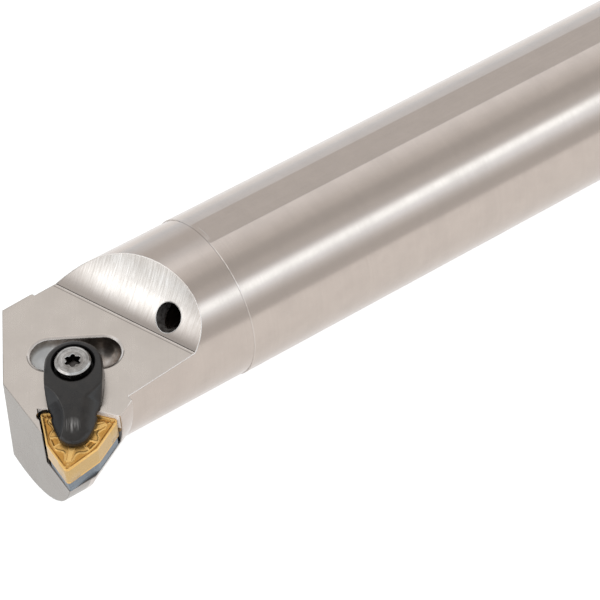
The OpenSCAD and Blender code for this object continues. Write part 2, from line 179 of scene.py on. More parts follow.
def between(tree, value, low, high, to_low=0.0, to_high=1.0):
    """Map a value from one range to another, and hold it at both ends."""
    inputs = {"Value": value, "From Min": low, "From Max": high, "To Min": to_low, "To Max": to_high}
    return add(tree, "ShaderNodeMapRange", inputs).outputs["Result"]


def blend_colours(tree, share, first, second):
    inputs = {"Factor": share, "A": first, "B": second}
    return add(tree, "ShaderNodeMix", inputs, data_type="RGBA").outputs["Result"]


def layered(tree, base, *layers):
    """Lay colours over a base, each as thick as its share says."""
    for share, colour in layers:
        base = blend_colours(tree, share, base, colour)
    return base


def linear(channel):
    channel = channel / 255
    return channel / 12.92 if channel <= 0.04045 else ((channel + 0.055) / 1.055) ** 2.4


def srgb(red, green, blue):
    return (linear(red), linear(green), linear(blue), 1.0)


def start_material(name, colour, metallic, roughness):
    made = bpy.data.materials.new(name)
    made.use_nodes = True
    surface = made.node_tree.nodes["Principled BSDF"]
    fill(made.node_tree, surface, {"Base Color": colour, "Metallic": metallic, "Roughness": roughness})
    return made, made.node_tree, surface


# %% [markdown]
# Patterns on metal follow the tool that cut it. Noise is read at each point's own place, squeezed along the
# direction of the cut, and a mapping node turns the pattern with a piece that doesn't lie square.


# %% Pattern helpers
# Noise lies mostly between 0.3 and 0.7. These ranges stretch it to soft, clearer or sharper patches.
SOFT = (0.3, 0.7)
CLEARER = (0.35, 0.65)
SHARPER = (0.38, 0.62)


def place_of(tree, matrix=None):
    """The point on the object, told in the given frame."""
    where = add(tree, "ShaderNodeTexCoord").outputs["Object"]
    if matrix is None:
        return where
    inputs = {"Vector": where, "Location": matrix.to_translation(), "Rotation": matrix.to_euler()}
    return add(tree, "ShaderNodeMapping", inputs, vector_type="TEXTURE").outputs["Vector"]


def split_way(tree, vector):
    return add(tree, "ShaderNodeSeparateXYZ", {"Vector": vector}).outputs


def split_place(tree, matrix=None):
    return split_way(tree, place_of(tree, matrix))


def hypotenuse(tree, first, second):
    square = calc(tree, "MULTIPLY", second, second)
    return calc(tree, "SQRT", calc(tree, "MULTIPLY_ADD", first, first, square))


def reach_from_axis(tree, matrix):
    """How far a point is from a frame's upright axis."""
    x, y, _ = split_place(tree, matrix)
    return hypotenuse(tree, x, y)


def noise(tree, where, scale, detail=2.0, roughness=0.5):
    inputs = {"Vector": where, "Scale": scale, "Detail": detail, "Roughness": roughness}
    return add(tree, "ShaderNodeTexNoise", inputs).outputs["Fac"]


def cut_lines(tree, where, scales, detail=3.0, roughness=0.6):
    """Noise that is drawn out into lines along the directions whose scale is small."""
    drawn = add(tree, "ShaderNodeVectorMath", {0: where, 1: scales}, operation="MULTIPLY")
    return noise(tree, drawn.outputs[0], 1.0, detail, roughness)


def raise_by(tree, height, distance, strength=1.0, normal=None):
    inputs = {"Height": height, "Distance": distance, "Strength": strength}
    if normal is not None:
        inputs["Normal"] = normal
    return add(tree, "ShaderNodeBump", inputs).outputs["Normal"]


def soft_edges(tree, radius, samples=6):
    """Real edges are broken a little, and this bends the light there as a small round would."""
    return add(tree, "ShaderNodeBevel", {"Radius": radius}, samples=samples).outputs["Normal"]


# %% [markdown]
# ## Studio
# Bright metal shows mostly what stands round it. The world is a soft studio whose brightness changes with
# height in bands that run along the bar, so the round shank gets its long light and dark stripes. A ramp over
# the angle round the bar's axis draws the bands. The floor is pale paper that keeps a soft shadow, and one
# long weak lamp stands in front of the bar.

# %% World
# Each stop is an angle in degrees, measured from the back over the top to the front, a brightness, and how
# cool its white is.
WORLD_BANDS = [
    (-60, 1.10, 1.0),
    (2, 1.00, 1.0),
    (20, 0.97, 0.5),
    (34, 0.82, 0.0),
    (50, 0.82, 0.1),
    (60, 0.98, 0.5),
    (70, 1.20, 0.4),
    (77, 1.28, 0.4),
    (85, 1.05, 0.2),
    (97, 0.90, 0.0),
    (107, 0.68, 0.0),
    (116, 0.67, 0.0),
    (125, 0.80, 0.0),
    (134, 0.80, 0.2),
    (141, 1.68, 1.2),
    (154, 1.36, 1.2),
    (165, 0.92, 0.2),
    (172, 0.74, 0.0),
    (183, 0.76, 0.0),
]
COOL = (1.0, 1.08, 1.16)
# A tall white board stands past the head's end. Each stop is how far the direction points along the bar,
# from -1 ahead of the head to 1 behind the shank, and how much brighter it makes that part.
END_BOARD = [
    (-1.0, 1.25),
    (-0.95, 1.95),
    (-0.88, 2.20),
    (-0.83, 1.50),
    (-0.78, 0.80),
    (-0.70, 0.85),
    (-0.50, 1.00),
]


def band_colour(level, cool, peak):
    return [level / peak * (1 + cool * (tint - 1)) / max(COOL) for tint in COOL] + [1.0]


def angle_round_bar(tree, way):
    """The direction's angle about the bar, as a share of a full turn, starting under the floor."""
    _, y, z = split_way(tree, way)
    turned = calc(tree, "ADD", calc(tree, "ARCTAN2", z, y), math.pi / 2)
    wrapped = calc(tree, "FLOORED_MODULO", turned, 2 * math.pi)
    return calc(tree, "DIVIDE", wrapped, 2 * math.pi)


def ramp_of(tree, value, stops):
    """A colour ramp with the given places and colours."""
    ramp = add(tree, "ShaderNodeValToRGB", {0: value})
    ramp.color_ramp.interpolation = "EASE"
    elements = ramp.color_ramp.elements
    for k, (at, colour) in enumerate(stops):
        stop = elements[k] if k < 2 else elements.new(at)
        stop.position = at
        stop.color = colour
    return ramp.outputs["Color"]


def make_world():
    world = bpy.data.worlds.new("studio")
    world.use_nodes = True
    tree = world.node_tree
    tree.nodes.clear()
    way = add(tree, "ShaderNodeTexCoord").outputs["Generated"]
    peak = max(level for _, level, _ in WORLD_BANDS)
    stops = [((degrees + 90) / 360, band_colour(level, cool, peak)) for degrees, level, cool in WORLD_BANDS]
    round_bar = ramp_of(tree, angle_round_bar(tree, way), stops)
    top = max(level for _, level in END_BOARD)
    stops = [((x + 1) / 2, [level / top] * 3 + [1.0]) for x, level in END_BOARD]
    along_bar = ramp_of(tree, between(tree, split_way(tree, way)["X"], -1.0, 1.0), stops)
    strength = times(tree, along_bar, peak * max(COOL) * top)
    bands = add(tree, "ShaderNodeBackground", {"Color": round_bar, "Strength": strength})
    white = add(tree, "ShaderNodeBackground", {"Color": (1, 1, 1, 1)})
    seen = add(tree, "ShaderNodeLightPath").outputs["Is Camera Ray"]
    mix = add(tree, "ShaderNodeMixShader", {0: seen, 1: bands.outputs[0], 2: white.outputs[0]})
    add(tree, "ShaderNodeOutputWorld", {"Surface": mix.outputs[0]})
    bpy.context.scene.world = world


make_world()
print("world bands:", len(WORLD_BANDS))

# %% Floor
FLOOR_HALF = 3.0
FLOOR_FRONT = -0.25
PAPER_WHITE = (0.9, 0.9, 0.9, 1)
PAPER_ROUGH = 0.9
PAPER_GLOW = 0.88
PAPER_DIM = (0.3, 0.3, 0.3, 1)


def make_floor():
    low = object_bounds()[0][2]
    mesh = bpy.data.meshes.new("floor")
    corners = [
        (-FLOOR_HALF, FLOOR_FRONT, low),
        (FLOOR_HALF, FLOOR_FRONT, low),
        (FLOOR_HALF, FLOOR_HALF, low),
        (-FLOOR_HALF, FLOOR_HALF, low),
    ]
    mesh.from_pydata(corners, [], [(0, 1, 2, 3)])
    floor = put_in_scene("floor", mesh)
    paper, tree, surface = start_material("paper", PAPER_WHITE, 0.0, PAPER_ROUGH)
    glow = add(tree, "ShaderNodeEmission", {"Strength": PAPER_GLOW})
    dim = add(tree, "ShaderNodeBsdfDiffuse", {"Color": PAPER_DIM})
    both = add(tree, "ShaderNodeAddShader", {0: glow.outputs[0], 1: dim.outputs[0]})
    ray = add(tree, "ShaderNodeLightPath").outputs
    seen = largest(tree, ray["Is Camera Ray"], ray["Is Glossy Ray"])
    mix = add(tree, "ShaderNodeMixShader", {0: seen, 1: surface.outputs[0], 2: both.outputs[0]})
    fill(tree, tree.nodes["Material Output"], {"Surface": mix.outputs[0]})
    mesh.materials.append(paper)
    print("floor at height", round(low, 4))


make_floor()

# %% Lamp
LAMP_PLACE = Vector((0.55, -0.80, 0.56))
LAMP_LENGTH = 0.9
LAMP_WIDTH = 0.16
LAMP_POWER = 0.28
LAMP_WHITE = (0.86, 0.98, 1.0)


def make_lamp():
    light = bpy.data.lights.new("softbox", "AREA")
    light.shape = "RECTANGLE"
    light.size = LAMP_LENGTH
    light.size_y = LAMP_WIDTH
    light.energy = LAMP_POWER
    light.color = LAMP_WHITE
    lamp = put_in_scene("softbox", light)
    turn = LAMP_PLACE.to_track_quat("Z", "Y").to_matrix().to_4x4()
    lamp.matrix_world = Matrix.Translation(LAMP_PLACE) @ turn


make_lamp()
print("lamp at", tuple(LAMP_PLACE))

# %% [markdown]
# ## The bar's finish
# The bar is turned and milled steel under a thin satin nickel coat, so each surface keeps the marks of its
# tool: fine rings round the shank and neck, long strokes on the clamping flats, straight ground lines on the
# rake face and streaks down the swept run-out. One material does it all. It asks at each point which surface
# it is on, from the point's own place, and mixes the right marks.

# %% Which surface is it
SHANK_TURNED_FROM = 18.68 * MM
FLAT_HEIGHT = 18.665 * MM
FACE_REACH = 0.04 * MM
SHANK_FRONT = -2.0 * MM
NECK_END = -33.1 * MM
# The head's outside is milled ahead of the first limit, and on its far side past the second.
END_FROM = -47.5 * MM
FAR_FACET = 1.0 * MM
RUNOUT_REACH = 32.8 * MM
RUNOUT_TURN = math.radians(19.6)
TIP_OFFSET = 25.4 * MM

runout_frame = (
    seat_frame
    @ Matrix.Translation((RUNOUT_REACH, TIP_OFFSET, FACE_HEIGHT))
    @ Matrix.Rotation(RUNOUT_TURN, 4, "Z")
)


def below(tree, value, limit):
    return calc(tree, "LESS_THAN", value, limit)


def above(tree, value, limit):
    return calc(tree, "GREATER_THAN", value, limit)


def inside(tree, value, low, high):
    """1 where a value lies between two others, or else 0."""
    return times(tree, above(tree, value, low), below(tree, value, high))


def but(tree, mask):
    return calc(tree, "SUBTRACT", 1.0, mask)


def surface_masks(tree):
    """One mask for each large surface, and the run-out's own directions."""
    x, y, z = split_place(tree)
    flat = times(tree, above(tree, calc(tree, "ABSOLUTE", z), FLAT_HEIGHT), above(tree, x, 0.0))
    far_out = above(tree, hypotenuse(tree, z, y), SHANK_TURNED_FROM)
    turned = times(tree, far_out, above(tree, x, NECK_END), but(tree, flat))
    end_x, end_y, level = split_place(tree, runout_frame)
    cut = times(tree, but(tree, turned), below(tree, x, SHANK_FRONT))
    milled = largest(tree, below(tree, x, END_FROM), above(tree, y, FAR_FACET))
    return {
        "round": turned,
        "flat": flat,
        "face": times(tree, cut, inside(tree, level, -FACE_REACH, FACE_REACH)),
        "runout": times(tree, cut, above(tree, level, FACE_REACH)),
        "front": times(tree, cut, milled, below(tree, level, -FACE_REACH)),
        "end_x": end_x,
        "end_y": calc(tree, "ABSOLUTE", end_y),
        "level": level,
    }


print("the run-out's foot starts at", tuple(round(v / MM, 1) for v in runout_frame.to_translation()), "mm")

# %% [markdown]
# Some small parts of the head look different from the rest. The slot behind the clamp was milled with a round
# cutter. One end of its bowl is matt and painted pale as painted light, the rest is painted darker as painted
# shade, and its rim, a narrow slope, gets a painted highlight. The pocket's walls are matt and painted pale
# as painted light, its floor and its corner hole are painted darker as painted shade, and so is the coolant
# outlet, with a few painted glints. All of them are told from the rest by where they lie: by the distance
# from a line or from an axis.


# %% Slot
SLOT_MIDDLE = 21.05 * MM
SLOT_STRAIGHT = 5.65 * MM
SLOT_R = 4.25 * MM
SLOT_DEEP = 6.0 * MM
RIM_WIDE = 1.0 * MM
RIM_DEEP = 0.34 * MM
RIM_SHADOW_SPAN = (4.72 * MM, 4.95 * MM)
EDGE_BREAK = 0.36 * MM
# Painted light lies inside the slot's edge, away from the wall beside the clamp and towards one end; the rest
# of the bowl is painted shade.
LIT_IN = (SLOT_R, SLOT_R - 0.35 * MM)
LIT_ALONG = (SLOT_MIDDLE - 3.6 * MM, SLOT_MIDDLE - 1.4 * MM)
LIT_SIDE = (-2.0 * MM, 0.5 * MM)


def add_slot(tree, on):
    along, side, up = split_place(tree, clamp_frame)
    past_end = calc(tree, "SUBTRACT", calc(tree, "ABSOLUTE", side), SLOT_STRAIGHT)
    off = calc(tree, "SUBTRACT", along, SLOT_MIDDLE)
    from_line = hypotenuse(tree, off, largest(tree, past_end, 0.0))
    groove = times(
        tree,
        inside(tree, up, -SLOT_DEEP, FACE_HEIGHT - FACE_REACH),
        below(tree, from_line, SLOT_R + RIM_WIDE),
    )
    deep = below(tree, up, FACE_HEIGHT - RIM_DEEP)
    on["slot"] = times(tree, groove, deep)
    on["rim"] = times(tree, groove, but(tree, deep))
    on["by_slot"] = below(tree, from_line, SLOT_R + RIM_WIDE + EDGE_BREAK)
    # A line of painted shadow on the rim's near side.
    on["rim_line"] = times(tree, inside(tree, from_line, *RIM_SHADOW_SPAN), below(tree, along, SLOT_MIDDLE))
    # Where the bowl gets painted light; the rest of it gets painted shade.
    on["slot_bare"] = times(
        tree,
        between(tree, from_line, *LIT_IN),
        between(tree, along, *LIT_ALONG),
        between(tree, side, *LIT_SIDE),
    )


print("the slot is", round(2 * (SLOT_STRAIGHT + SLOT_R) / MM, 1), "mm long")

# %% Pocket and holes
# The pocket has the insert's outline, with three noses, the first of them 225 degrees round. Two sides meet
# at each nose, and each side faces 50 degrees away from it.
FIRST_NOSE = 225
SIDE_TURN = 50
THIRD = 2 * math.pi / 3
POCKET_WALL = 6.6 * MM
POCKET_CLEAR = 7.3 * MM
POCKET_LOW = -8.5 * MM
POCKET_DEEP = -3.0 * MM
# The corner hole, and the wall within reach of a point beside it, are painted dark as painted shade.
CORNER_HOLE = Vector((-2.9, 7.0, 0.0)) * MM
CORNER_HOLE_R = 1.7 * MM
CORNER_SHADE = Vector((-1.5, 8.83, -0.8)) * MM
OUTLET_R = 3.08 * MM
OUTLET_MOUTH = Vector((-15.2, -8.65, 9.25)) * MM
OUTLET_MEETING = Vector((10.0, 2.0, 3.5)) * MM

corner_frame = insert_frame @ Matrix.Translation(CORNER_HOLE)
outlet_turn = (OUTLET_MOUTH - OUTLET_MEETING).to_track_quat("Z", "Y").to_matrix().to_4x4()
outlet_frame = Matrix.Translation(OUTLET_MEETING) @ outlet_turn


def trigon_reach(tree):
    """How far out a point is, square to the nearest of the pocket's six sides."""
    x, y, _ = split_place(tree, insert_frame)
    angle = calc(tree, "SUBTRACT", calc(tree, "ARCTAN2", y, x), math.radians(FIRST_NOSE) - THIRD / 2)
    turn = calc(tree, "SUBTRACT", calc(tree, "FLOORED_MODULO", angle, THIRD), THIRD / 2)
    off = calc(tree, "SUBTRACT", calc(tree, "ABSOLUTE", turn), math.radians(SIDE_TURN))
    return times(tree, hypotenuse(tree, x, y), calc(tree, "COSINE", off))


def add_pocket(tree, on):
    _, _, up = split_place(tree, insert_frame)
    sunk = below(tree, up, FACE_HEIGHT - FACE_REACH)
    reach = trigon_reach(tree)
    pocket = times(tree, sunk, below(tree, reach, POCKET_WALL), above(tree, up, POCKET_LOW))
    floor = below(tree, up, POCKET_DEEP)
    # The pocket's walls get painted light and its floor painted shade.
    on["pocket"] = times(tree, pocket, but(tree, floor))
    on["pocket_floor"] = times(tree, pocket, floor)
    on["clear_of_pocket"] = above(tree, reach, POCKET_CLEAR)
    ends = {0: place_of(tree, insert_frame), 1: CORNER_SHADE}
    to_shade = add(tree, "ShaderNodeVectorMath", ends, operation="DISTANCE").outputs["Value"]
    nearest = calc(tree, "MINIMUM", reach_from_axis(tree, corner_frame), to_shade)
    # Painted shade in the corner hole and on the wall near it.
    on["corner"] = times(tree, sunk, below(tree, nearest, CORNER_HOLE_R))
    # The outlet's bore is painted dark as painted shade, with a few pale painted glints.
    on["outlet"] = times(tree, on["runout"], below(tree, reach_from_axis(tree, outlet_frame), OUTLET_R))


print("the outlet is", round((OUTLET_MOUTH - OUTLET_MEETING).length / MM, 1), "mm long")

# %% Marks of the tools
# Each set of scales is how many marks a metre has along x, y and z of the surface's own frame.
RING_PITCH = 0.22 * MM
RINGS = (1 / RING_PITCH, 12, 12)
STROKES = (14, 3600, 14)
GROUND = (40, 5200, 40)
SWEPT = (170, 2600, 170)


def tool_marks(tree, on):
    known = weighed(tree, (on["round"], 1.0), (on["flat"], 1.0), (on["face"], 1.0))
    ground = cut_lines(tree, place_of(tree, clamp_frame), GROUND, roughness=0.65)
    swept = cut_lines(tree, place_of(tree, runout_frame), SWEPT, detail=4.0, roughness=0.75)
    return weighed(
        tree,
        (cut_lines(tree, place_of(tree), RINGS), on["round"]),
        (cut_lines(tree, place_of(tree), STROKES), on["flat"]),
        (ground, on["face"]),
        (swept, but(tree, known)),
    )


print("turned rings every", round(RING_PITCH / MM, 2), "mm")

# %% [markdown]
# The sharp edges of a turned and milled part are broken by hand. The Bevel node gives the direction that a
# rounded edge would have. Where it differs from the surface's own direction there is an edge, and a pale
# painted highlight is laid there. Round the insert and on the shank this painted highlight is much weaker.
# The slot's own edges, the front edges and the slot's near rim get lines of painted shade instead. Fine lines
# of painted shade also mark where the shank begins, darker towards its top, and where the swept run-out has
# its foot, with a second dark line on the face just ahead of it.


# %% Edges and the run-out's foot
# An edge begins and is full at these cosines between the rounded direction and the surface's own.
EDGE_BENT = (0.985, 0.90)
SEAM_BENT = (0.97, 0.93)
# The painted edge highlight fades to these shares on the head round the insert and on the shank.
HEAD_EDGE_FADE = (-35 * MM, -33.2 * MM)
HEAD_EDGE_SHARE = 0.06
SHANK_EDGE_FADE = (-2.0 * MM, -0.5 * MM)
SHANK_EDGE = 0.18
# Shares of painted shade on the front edges and the slot's near rim. The step where the shank begins gets
# painted shade too, faint low down and full towards its top.
SEAM_SHADE_SHARE = 0.45
RIM_SHADOW_SHARE = 0.6
RING_LINE = (-0.16 * MM, 0.0)
RING_SHADE_FADE = (4 * MM, 17 * MM)
RING_FAINT = 0.25
FOOT_LINE = 0.16 * MM
SECOND_LINE = (-0.62 * MM, -0.44 * MM)
SECOND_DARK = 0.55


def add_edges(tree, on):
    """Mark edges for painted highlights and painted shade, and give the rounded direction."""
    rounded = soft_edges(tree, EDGE_BREAK, 8)
    own = add(tree, "ShaderNodeNewGeometry").outputs["Normal"]
    bent = add(tree, "ShaderNodeVectorMath", {0: rounded, 1: own}, operation="DOT_PRODUCT").outputs["Value"]
    edge = between(tree, bent, *EDGE_BENT)
    x, _, z = split_place(tree)
    head = between(tree, x, *HEAD_EDGE_FADE, HEAD_EDGE_SHARE, 1.0)
    shank = between(tree, x, *SHANK_EDGE_FADE, 1.0, SHANK_EDGE)
    on["edge"] = times(tree, edge, head, shank, but(tree, on["by_slot"]))
    outer = largest(tree, on["clear_of_pocket"], on["front"])
    seam = times(tree, between(tree, bent, *SEAM_BENT), outer, below(tree, x, END_FROM))
    ring = times(
        tree,
        on["round"],
        inside(tree, x, *RING_LINE),
        between(tree, z, *RING_SHADE_FADE, RING_FAINT, 1.0),
    )
    # Lines of painted shade at the front edges, the shank's step, the slot's near rim and the slot's own
    # edges.
    on["dark_edge"] = largest(
        tree,
        times(tree, largest(tree, seam, ring), SEAM_SHADE_SHARE),
        times(tree, on["rim_line"], RIM_SHADOW_SHARE),
        times(tree, edge, on["slot"]),
    )
    return rounded


# A line of painted shade at the run-out's foot, and a second dark line on the face just ahead of it.
def foot_shade_lines(tree, on):
    foot = times(tree, on["runout"], below(tree, on["level"], FOOT_LINE))
    second = times(tree, on["face"], inside(tree, on["end_x"], *SECOND_LINE), SECOND_DARK)
    return largest(tree, foot, second)


print("edges are broken over", round(EDGE_BREAK / MM, 2), "mm")

# %% Colours of the nickel coat
NICKEL = srgb(191, 179, 170)
NICKEL_GROUND = srgb(202, 191, 181)
NICKEL_DARK = srgb(150, 141, 134)
NICKEL_DIM = srgb(120, 114, 108)
# A painted highlight, on edges and on the run-out's streaks.
NICKEL_HIGHLIGHT = srgb(250, 247, 243)
# The front faces' own milled finish, darkened further as painted shade.
NICKEL_MILLED_AND_SHADE = srgb(144, 138, 131)
NICKEL_CUT = srgb(194, 190, 184)
# Painted light and painted shade in the slot's bowl.
SLOT_PAINTED_LIGHT = srgb(255, 254, 252)
SLOT_PAINTED_SHADE = srgb(150, 138, 128)
# A painted highlight on the slot's chamfered rim.
RIM_HIGHLIGHT = srgb(214, 206, 200)
# Painted light on the pocket's walls, and painted shade on its floor below.
POCKET_PAINTED_LIGHT = srgb(250, 243, 238)
POCKET_FLOOR_SHADE = srgb(156, 149, 144)
# Painted shade on the run-out, near its foot and towards both ends.
RUNOUT_SHADE = srgb(136, 127, 120)
# Painted shade in the corner hole.
CORNER_HOLE_SHADE = srgb(24, 22, 21)
# Painted glints in the coolant outlet.
OUTLET_GLINT = srgb(238, 232, 226)
# Painted shade, in lines at edges and creases and in the coolant outlet.
PAINTED_SHADE = srgb(72, 66, 62)
# How much of each layer shows, and between which values it fades.
GRAIN_SHARE = 0.35
CUT_SHARE = 0.7
STREAK_SHARE = 0.6
STREAK_RANGE = (0.35, 0.7)
FOOT_SHADE_RANGE = (4.0 * MM, 0.7 * MM)
FOOT_SHADE_SHARE = 0.95
END_SHADE_RANGE = (6 * MM, 15 * MM)
END_SHADE_SHARE = 0.5
BLOT_RANGE = (0.36, 0.62)
BLOT_LEAST = 0.8
UNWORN_SHARE = 0.26
EDGE_HIGHLIGHT_SHARE = 0.9


def nickel_colour(tree, on, marks, worn, speckle, stain):
    """Lay the surfaces' own colours, painted light and painted shade over the plain coat, from the large ones
    to the finest lines.
    """
    grain = times(tree, between(tree, speckle, *SHARPER), between(tree, stain, *SOFT), GRAIN_SHARE)
    # The run-out's swept marks show as bright streaks: real marks, drawn as painted highlight.
    streak = between(tree, marks, *STREAK_RANGE, 0.0, STREAK_SHARE)
    # Painted shade on the run-out near its foot and towards both ends.
    foot = between(tree, on["level"], *FOOT_SHADE_RANGE, 0.0, FOOT_SHADE_SHARE)
    ends = between(tree, on["end_y"], *END_SHADE_RANGE, 0.0, END_SHADE_SHARE)
    blot = between(tree, stain, *BLOT_RANGE, BLOT_LEAST, 1.0)
    slot_shaded = times(tree, but(tree, on["slot_bare"]), blot)
    return layered(
        tree,
        NICKEL,
        (on["face"], NICKEL_GROUND),
        (on["front"], NICKEL_MILLED_AND_SHADE),
        (times(tree, on["front"], grain), NICKEL_DIM),
        (times(tree, on["runout"], CUT_SHARE), NICKEL_CUT),
        (times(tree, on["runout"], streak), NICKEL_HIGHLIGHT),
        (times(tree, on["runout"], foot), RUNOUT_SHADE),
        (times(tree, on["runout"], ends), RUNOUT_SHADE),
        (on["pocket"], POCKET_PAINTED_LIGHT),
        (on["pocket_floor"], POCKET_FLOOR_SHADE),
        (on["rim"], RIM_HIGHLIGHT),
        (on["slot"], blend_colours(tree, slot_shaded, SLOT_PAINTED_LIGHT, SLOT_PAINTED_SHADE)),
        (between(tree, worn, 0.0, 1.0, UNWORN_SHARE, 0.0), NICKEL_DARK),
        (foot_shade_lines(tree, on), PAINTED_SHADE),
        (on["dark_edge"], PAINTED_SHADE),
        (on["corner"], CORNER_HOLE_SHADE),
        (on["outlet"], blend_colours(tree, blot, OUTLET_GLINT, PAINTED_SHADE)),
        (times(tree, on["edge"], EDGE_HIGHLIGHT_SHARE), NICKEL_HIGHLIGHT),
    )


print("the plain coat is", tuple(round(v, 3) for v in NICKEL[:3]))

# %% Nickel
COAT_ROUGH = (0.22, 0.15)
# How much rougher each surface is than the plain coat.
ROUGHER = {"face": 0.10, "runout": 0.06, "pocket": 0.45, "slot": 0.12, "front": 0.08, "edge": 0.25}
MATT_SHARE = 0.85
OUTLET_MATT = 0.6
MARK_HEIGHT = 0.0016 * MM
RUNOUT_TALLER = 4.0


def make_nickel():
    made, tree, surface = start_material("satin_nickel", NICKEL, 1.0, COAT_ROUGH[0])
    on = surface_masks(tree)
    add_slot(tree, on)
    add_pocket(tree, on)
    rounded = add_edges(tree, on)
    marks = tool_marks(tree, on)
    where = place_of(tree)
    cloud = noise(tree, where, scale=160, detail=3.0, roughness=0.55)
    speckle = noise(tree, where, scale=2600, detail=2.0, roughness=0.6)
    stain = noise(tree, where, scale=900, detail=4.0, roughness=0.65)
    worn = weighed(
        tree,
        (between(tree, cloud, *CLEARER), 0.45),
        (between(tree, marks, *SOFT), 0.35),
        (between(tree, speckle, *SOFT), 0.20),
    )
    rough = (between(tree, worn, 0.0, 1.0, *COAT_ROUGH), 1.0)
    rough = weighed(tree, rough, *[(on[name], more) for name, more in ROUGHER.items()])
    taller = calc(tree, "MULTIPLY_ADD", on["runout"], RUNOUT_TALLER, 1.0)
    matt = largest(
        tree,
        on["pocket"],
        times(tree, on["outlet"], OUTLET_MATT),
        on["corner"],
        times(tree, on["slot"], on["slot_bare"]),
    )
    looks = {
        "Base Color": nickel_colour(tree, on, marks, worn, speckle, stain),
        "Roughness": rough,
        "Metallic": but(tree, times(tree, matt, MATT_SHARE)),
        "Normal": raise_by(tree, times(tree, marks, taller), MARK_HEIGHT, 1.0, rounded),
    }
    fill(tree, surface, looks)
    return made


nickel = make_nickel()
print("nickel nodes:", len(nickel.node_tree.nodes))

# %% [markdown]
# ## The insert
# The insert is pressed and sintered carbide under a gold coloured vapour coat. Its face is a landscape a few
# tenths of a millimetre deep: a flat land along the edge, a trough behind it that curls the chip, and ridges
# and bumps that break the chip. Such a form is hard to cut out of a solid, but it is a height for each place
# on the face, and one formula gives it. The mesh is a grid in rings round the hole, closer where detail is
# small, and the same rings go down the sides and back under the insert, because it has the same face below.
# Its cells draw in millimetres.

# %% Outline of the insert
INSCRIBED_R = 6.35
NOSE_R = 0.8
NOSE_HALF = 90 - SIDE_TURN
NOSE_CENTRE = (INSCRIBED_R - NOSE_R) / math.sin(math.radians(NOSE_HALF))
NOSES = [(FIRST_NOSE + turn) % 360 for turn in (0, 120, 240)]
INSERT_THICK = 4.76
HOLE_R = 2.58
OUTSIDE_R = 10.0
HALVINGS = 40


def polar(radius, degrees):
    """The x and y of a point at a radius and an angle."""
    turn = math.radians(degrees)
    return radius * math.cos(turn), radius * math.sin(turn)


def nose_turn(angle):
    """The angle from the nearest nose, from -60 to 60 degrees."""
    return (angle - FIRST_NOSE + 60) % 120 - 60


def inset_from_edge(radius, turn):
    """How far a point lies inside the outline."""
    side = INSCRIBED_R - polar(radius, abs(turn) - SIDE_TURN)[0]
    ahead, beside = polar(radius, turn)
    ahead -= NOSE_CENTRE
    if ahead > 0 and abs(math.degrees(math.atan2(beside, ahead))) < SIDE_TURN:
        return NOSE_R - math.hypot(ahead, beside)
    return side


def outline_radius(turn):
    """Halve the range again and again until it closes on the outline."""
    low, high = HOLE_R, OUTSIDE_R
    for _ in range(HALVINGS):
        middle = (low + high) / 2
        if inset_from_edge(middle, turn) > 0:
            low = middle
        else:
            high = middle
    return low


print("nose reaches", round(outline_radius(0), 3), "mm from the hole's centre")

# %% Ridge and ribs of the insert's face
# The ridge round the middle, as angles from the nose and distances from the centre.
RIDGE_PATH = [
    (0, 7.1),
    (5, 6.95),
    (8, 6.5),
    (11, 5.6),
    (16, 5.0),
    (22, 4.9),
    (32, 5.25),
    (40, 5.35),
    (60, 5.15),
]
SLANT_STEP = 1.5
RIB_SIDE = (-0.10, 0.10)
# Where each rib rises out of the middle, where it ends, and over which distances it fades there.
NOSE_RIB = {"start": (3.0, 3.6), "end": 7.05, "fade": (-0.1, 0.25)}
BOX_RIB = {"start": (3.0, 3.3), "end": 5.2, "fade": (-0.1, 0.2)}


def smooth(value, low, high):
    share = min(max((value - low) / (high - low), 0.0), 1.0)
    return share * share * (3 - 2 * share)


def ridge_radius(turn):
    turn = abs(turn)
    for (a, first), (b, second) in zip(RIDGE_PATH, RIDGE_PATH[1:]):
        if turn <= b:
            return first + (second - first) * (turn - a) / (b - a)
    return RIDGE_PATH[-1][1]


def from_ridge(radius, turn):
    """The distance outwards from the ridge, with its slant taken into account."""
    here = ridge_radius(turn)
    ahead = ridge_radius(abs(turn) + SLANT_STEP)
    behind = ridge_radius(max(abs(turn) - SLANT_STEP, 0))
    slant = (ahead - behind) / math.radians(2 * SLANT_STEP)
    return (radius - here) / math.sqrt(1 + (slant / here) ** 2)


def rib_share(radius, beside, half, start, end, fade):
    """How much of a rib stands at a place that is so far beside its middle line."""
    return smooth(half - beside, *RIB_SIDE) * smooth(end - radius, *fade) * smooth(radius, *start)


print("the ridge is nearest at", min(radius for _, radius in RIDGE_PATH), "mm from the centre")

# %% Height of the insert's face
LAND = 0.28
TROUGH = 0.30
TROUGH_SLOPE = 0.55
MESA = 0.16
RIDGE_TOP = 0.02
RIDGE_WIDE = 0.24
RIDGE_SHARE = 0.9
RIDGE_START = (LAND + 0.1, LAND + 0.5)
STEP_SIDE = (-0.12, 0.12)
# The boxes beside the sides' middles are as deep as the trough, from these angles and radii on.
BOX_TURNS = (44, 50)
BOX_RADII = (3.5, 3.9)
BOX_RIB_TURN = 46
BOX_RIB_HALF = 0.24
BOX_RIB_TOP = 0.02
NOSE_RIB_FROM = 3.9
NOSE_RIB_HALF = 0.62
NOSE_RIB_TAPER = 0.06
NOSE_RIB_TOP = 0.03
# Each bump is its distance from the centre, its angle from the nose, its width and its height.
BUMPS = [(7.75, 0, 0.46, 0.30), (8.4, 2.6, 0.26, 0.16), (8.4, -2.6, 0.26, 0.16)]
BUMP_FALL = 1.6


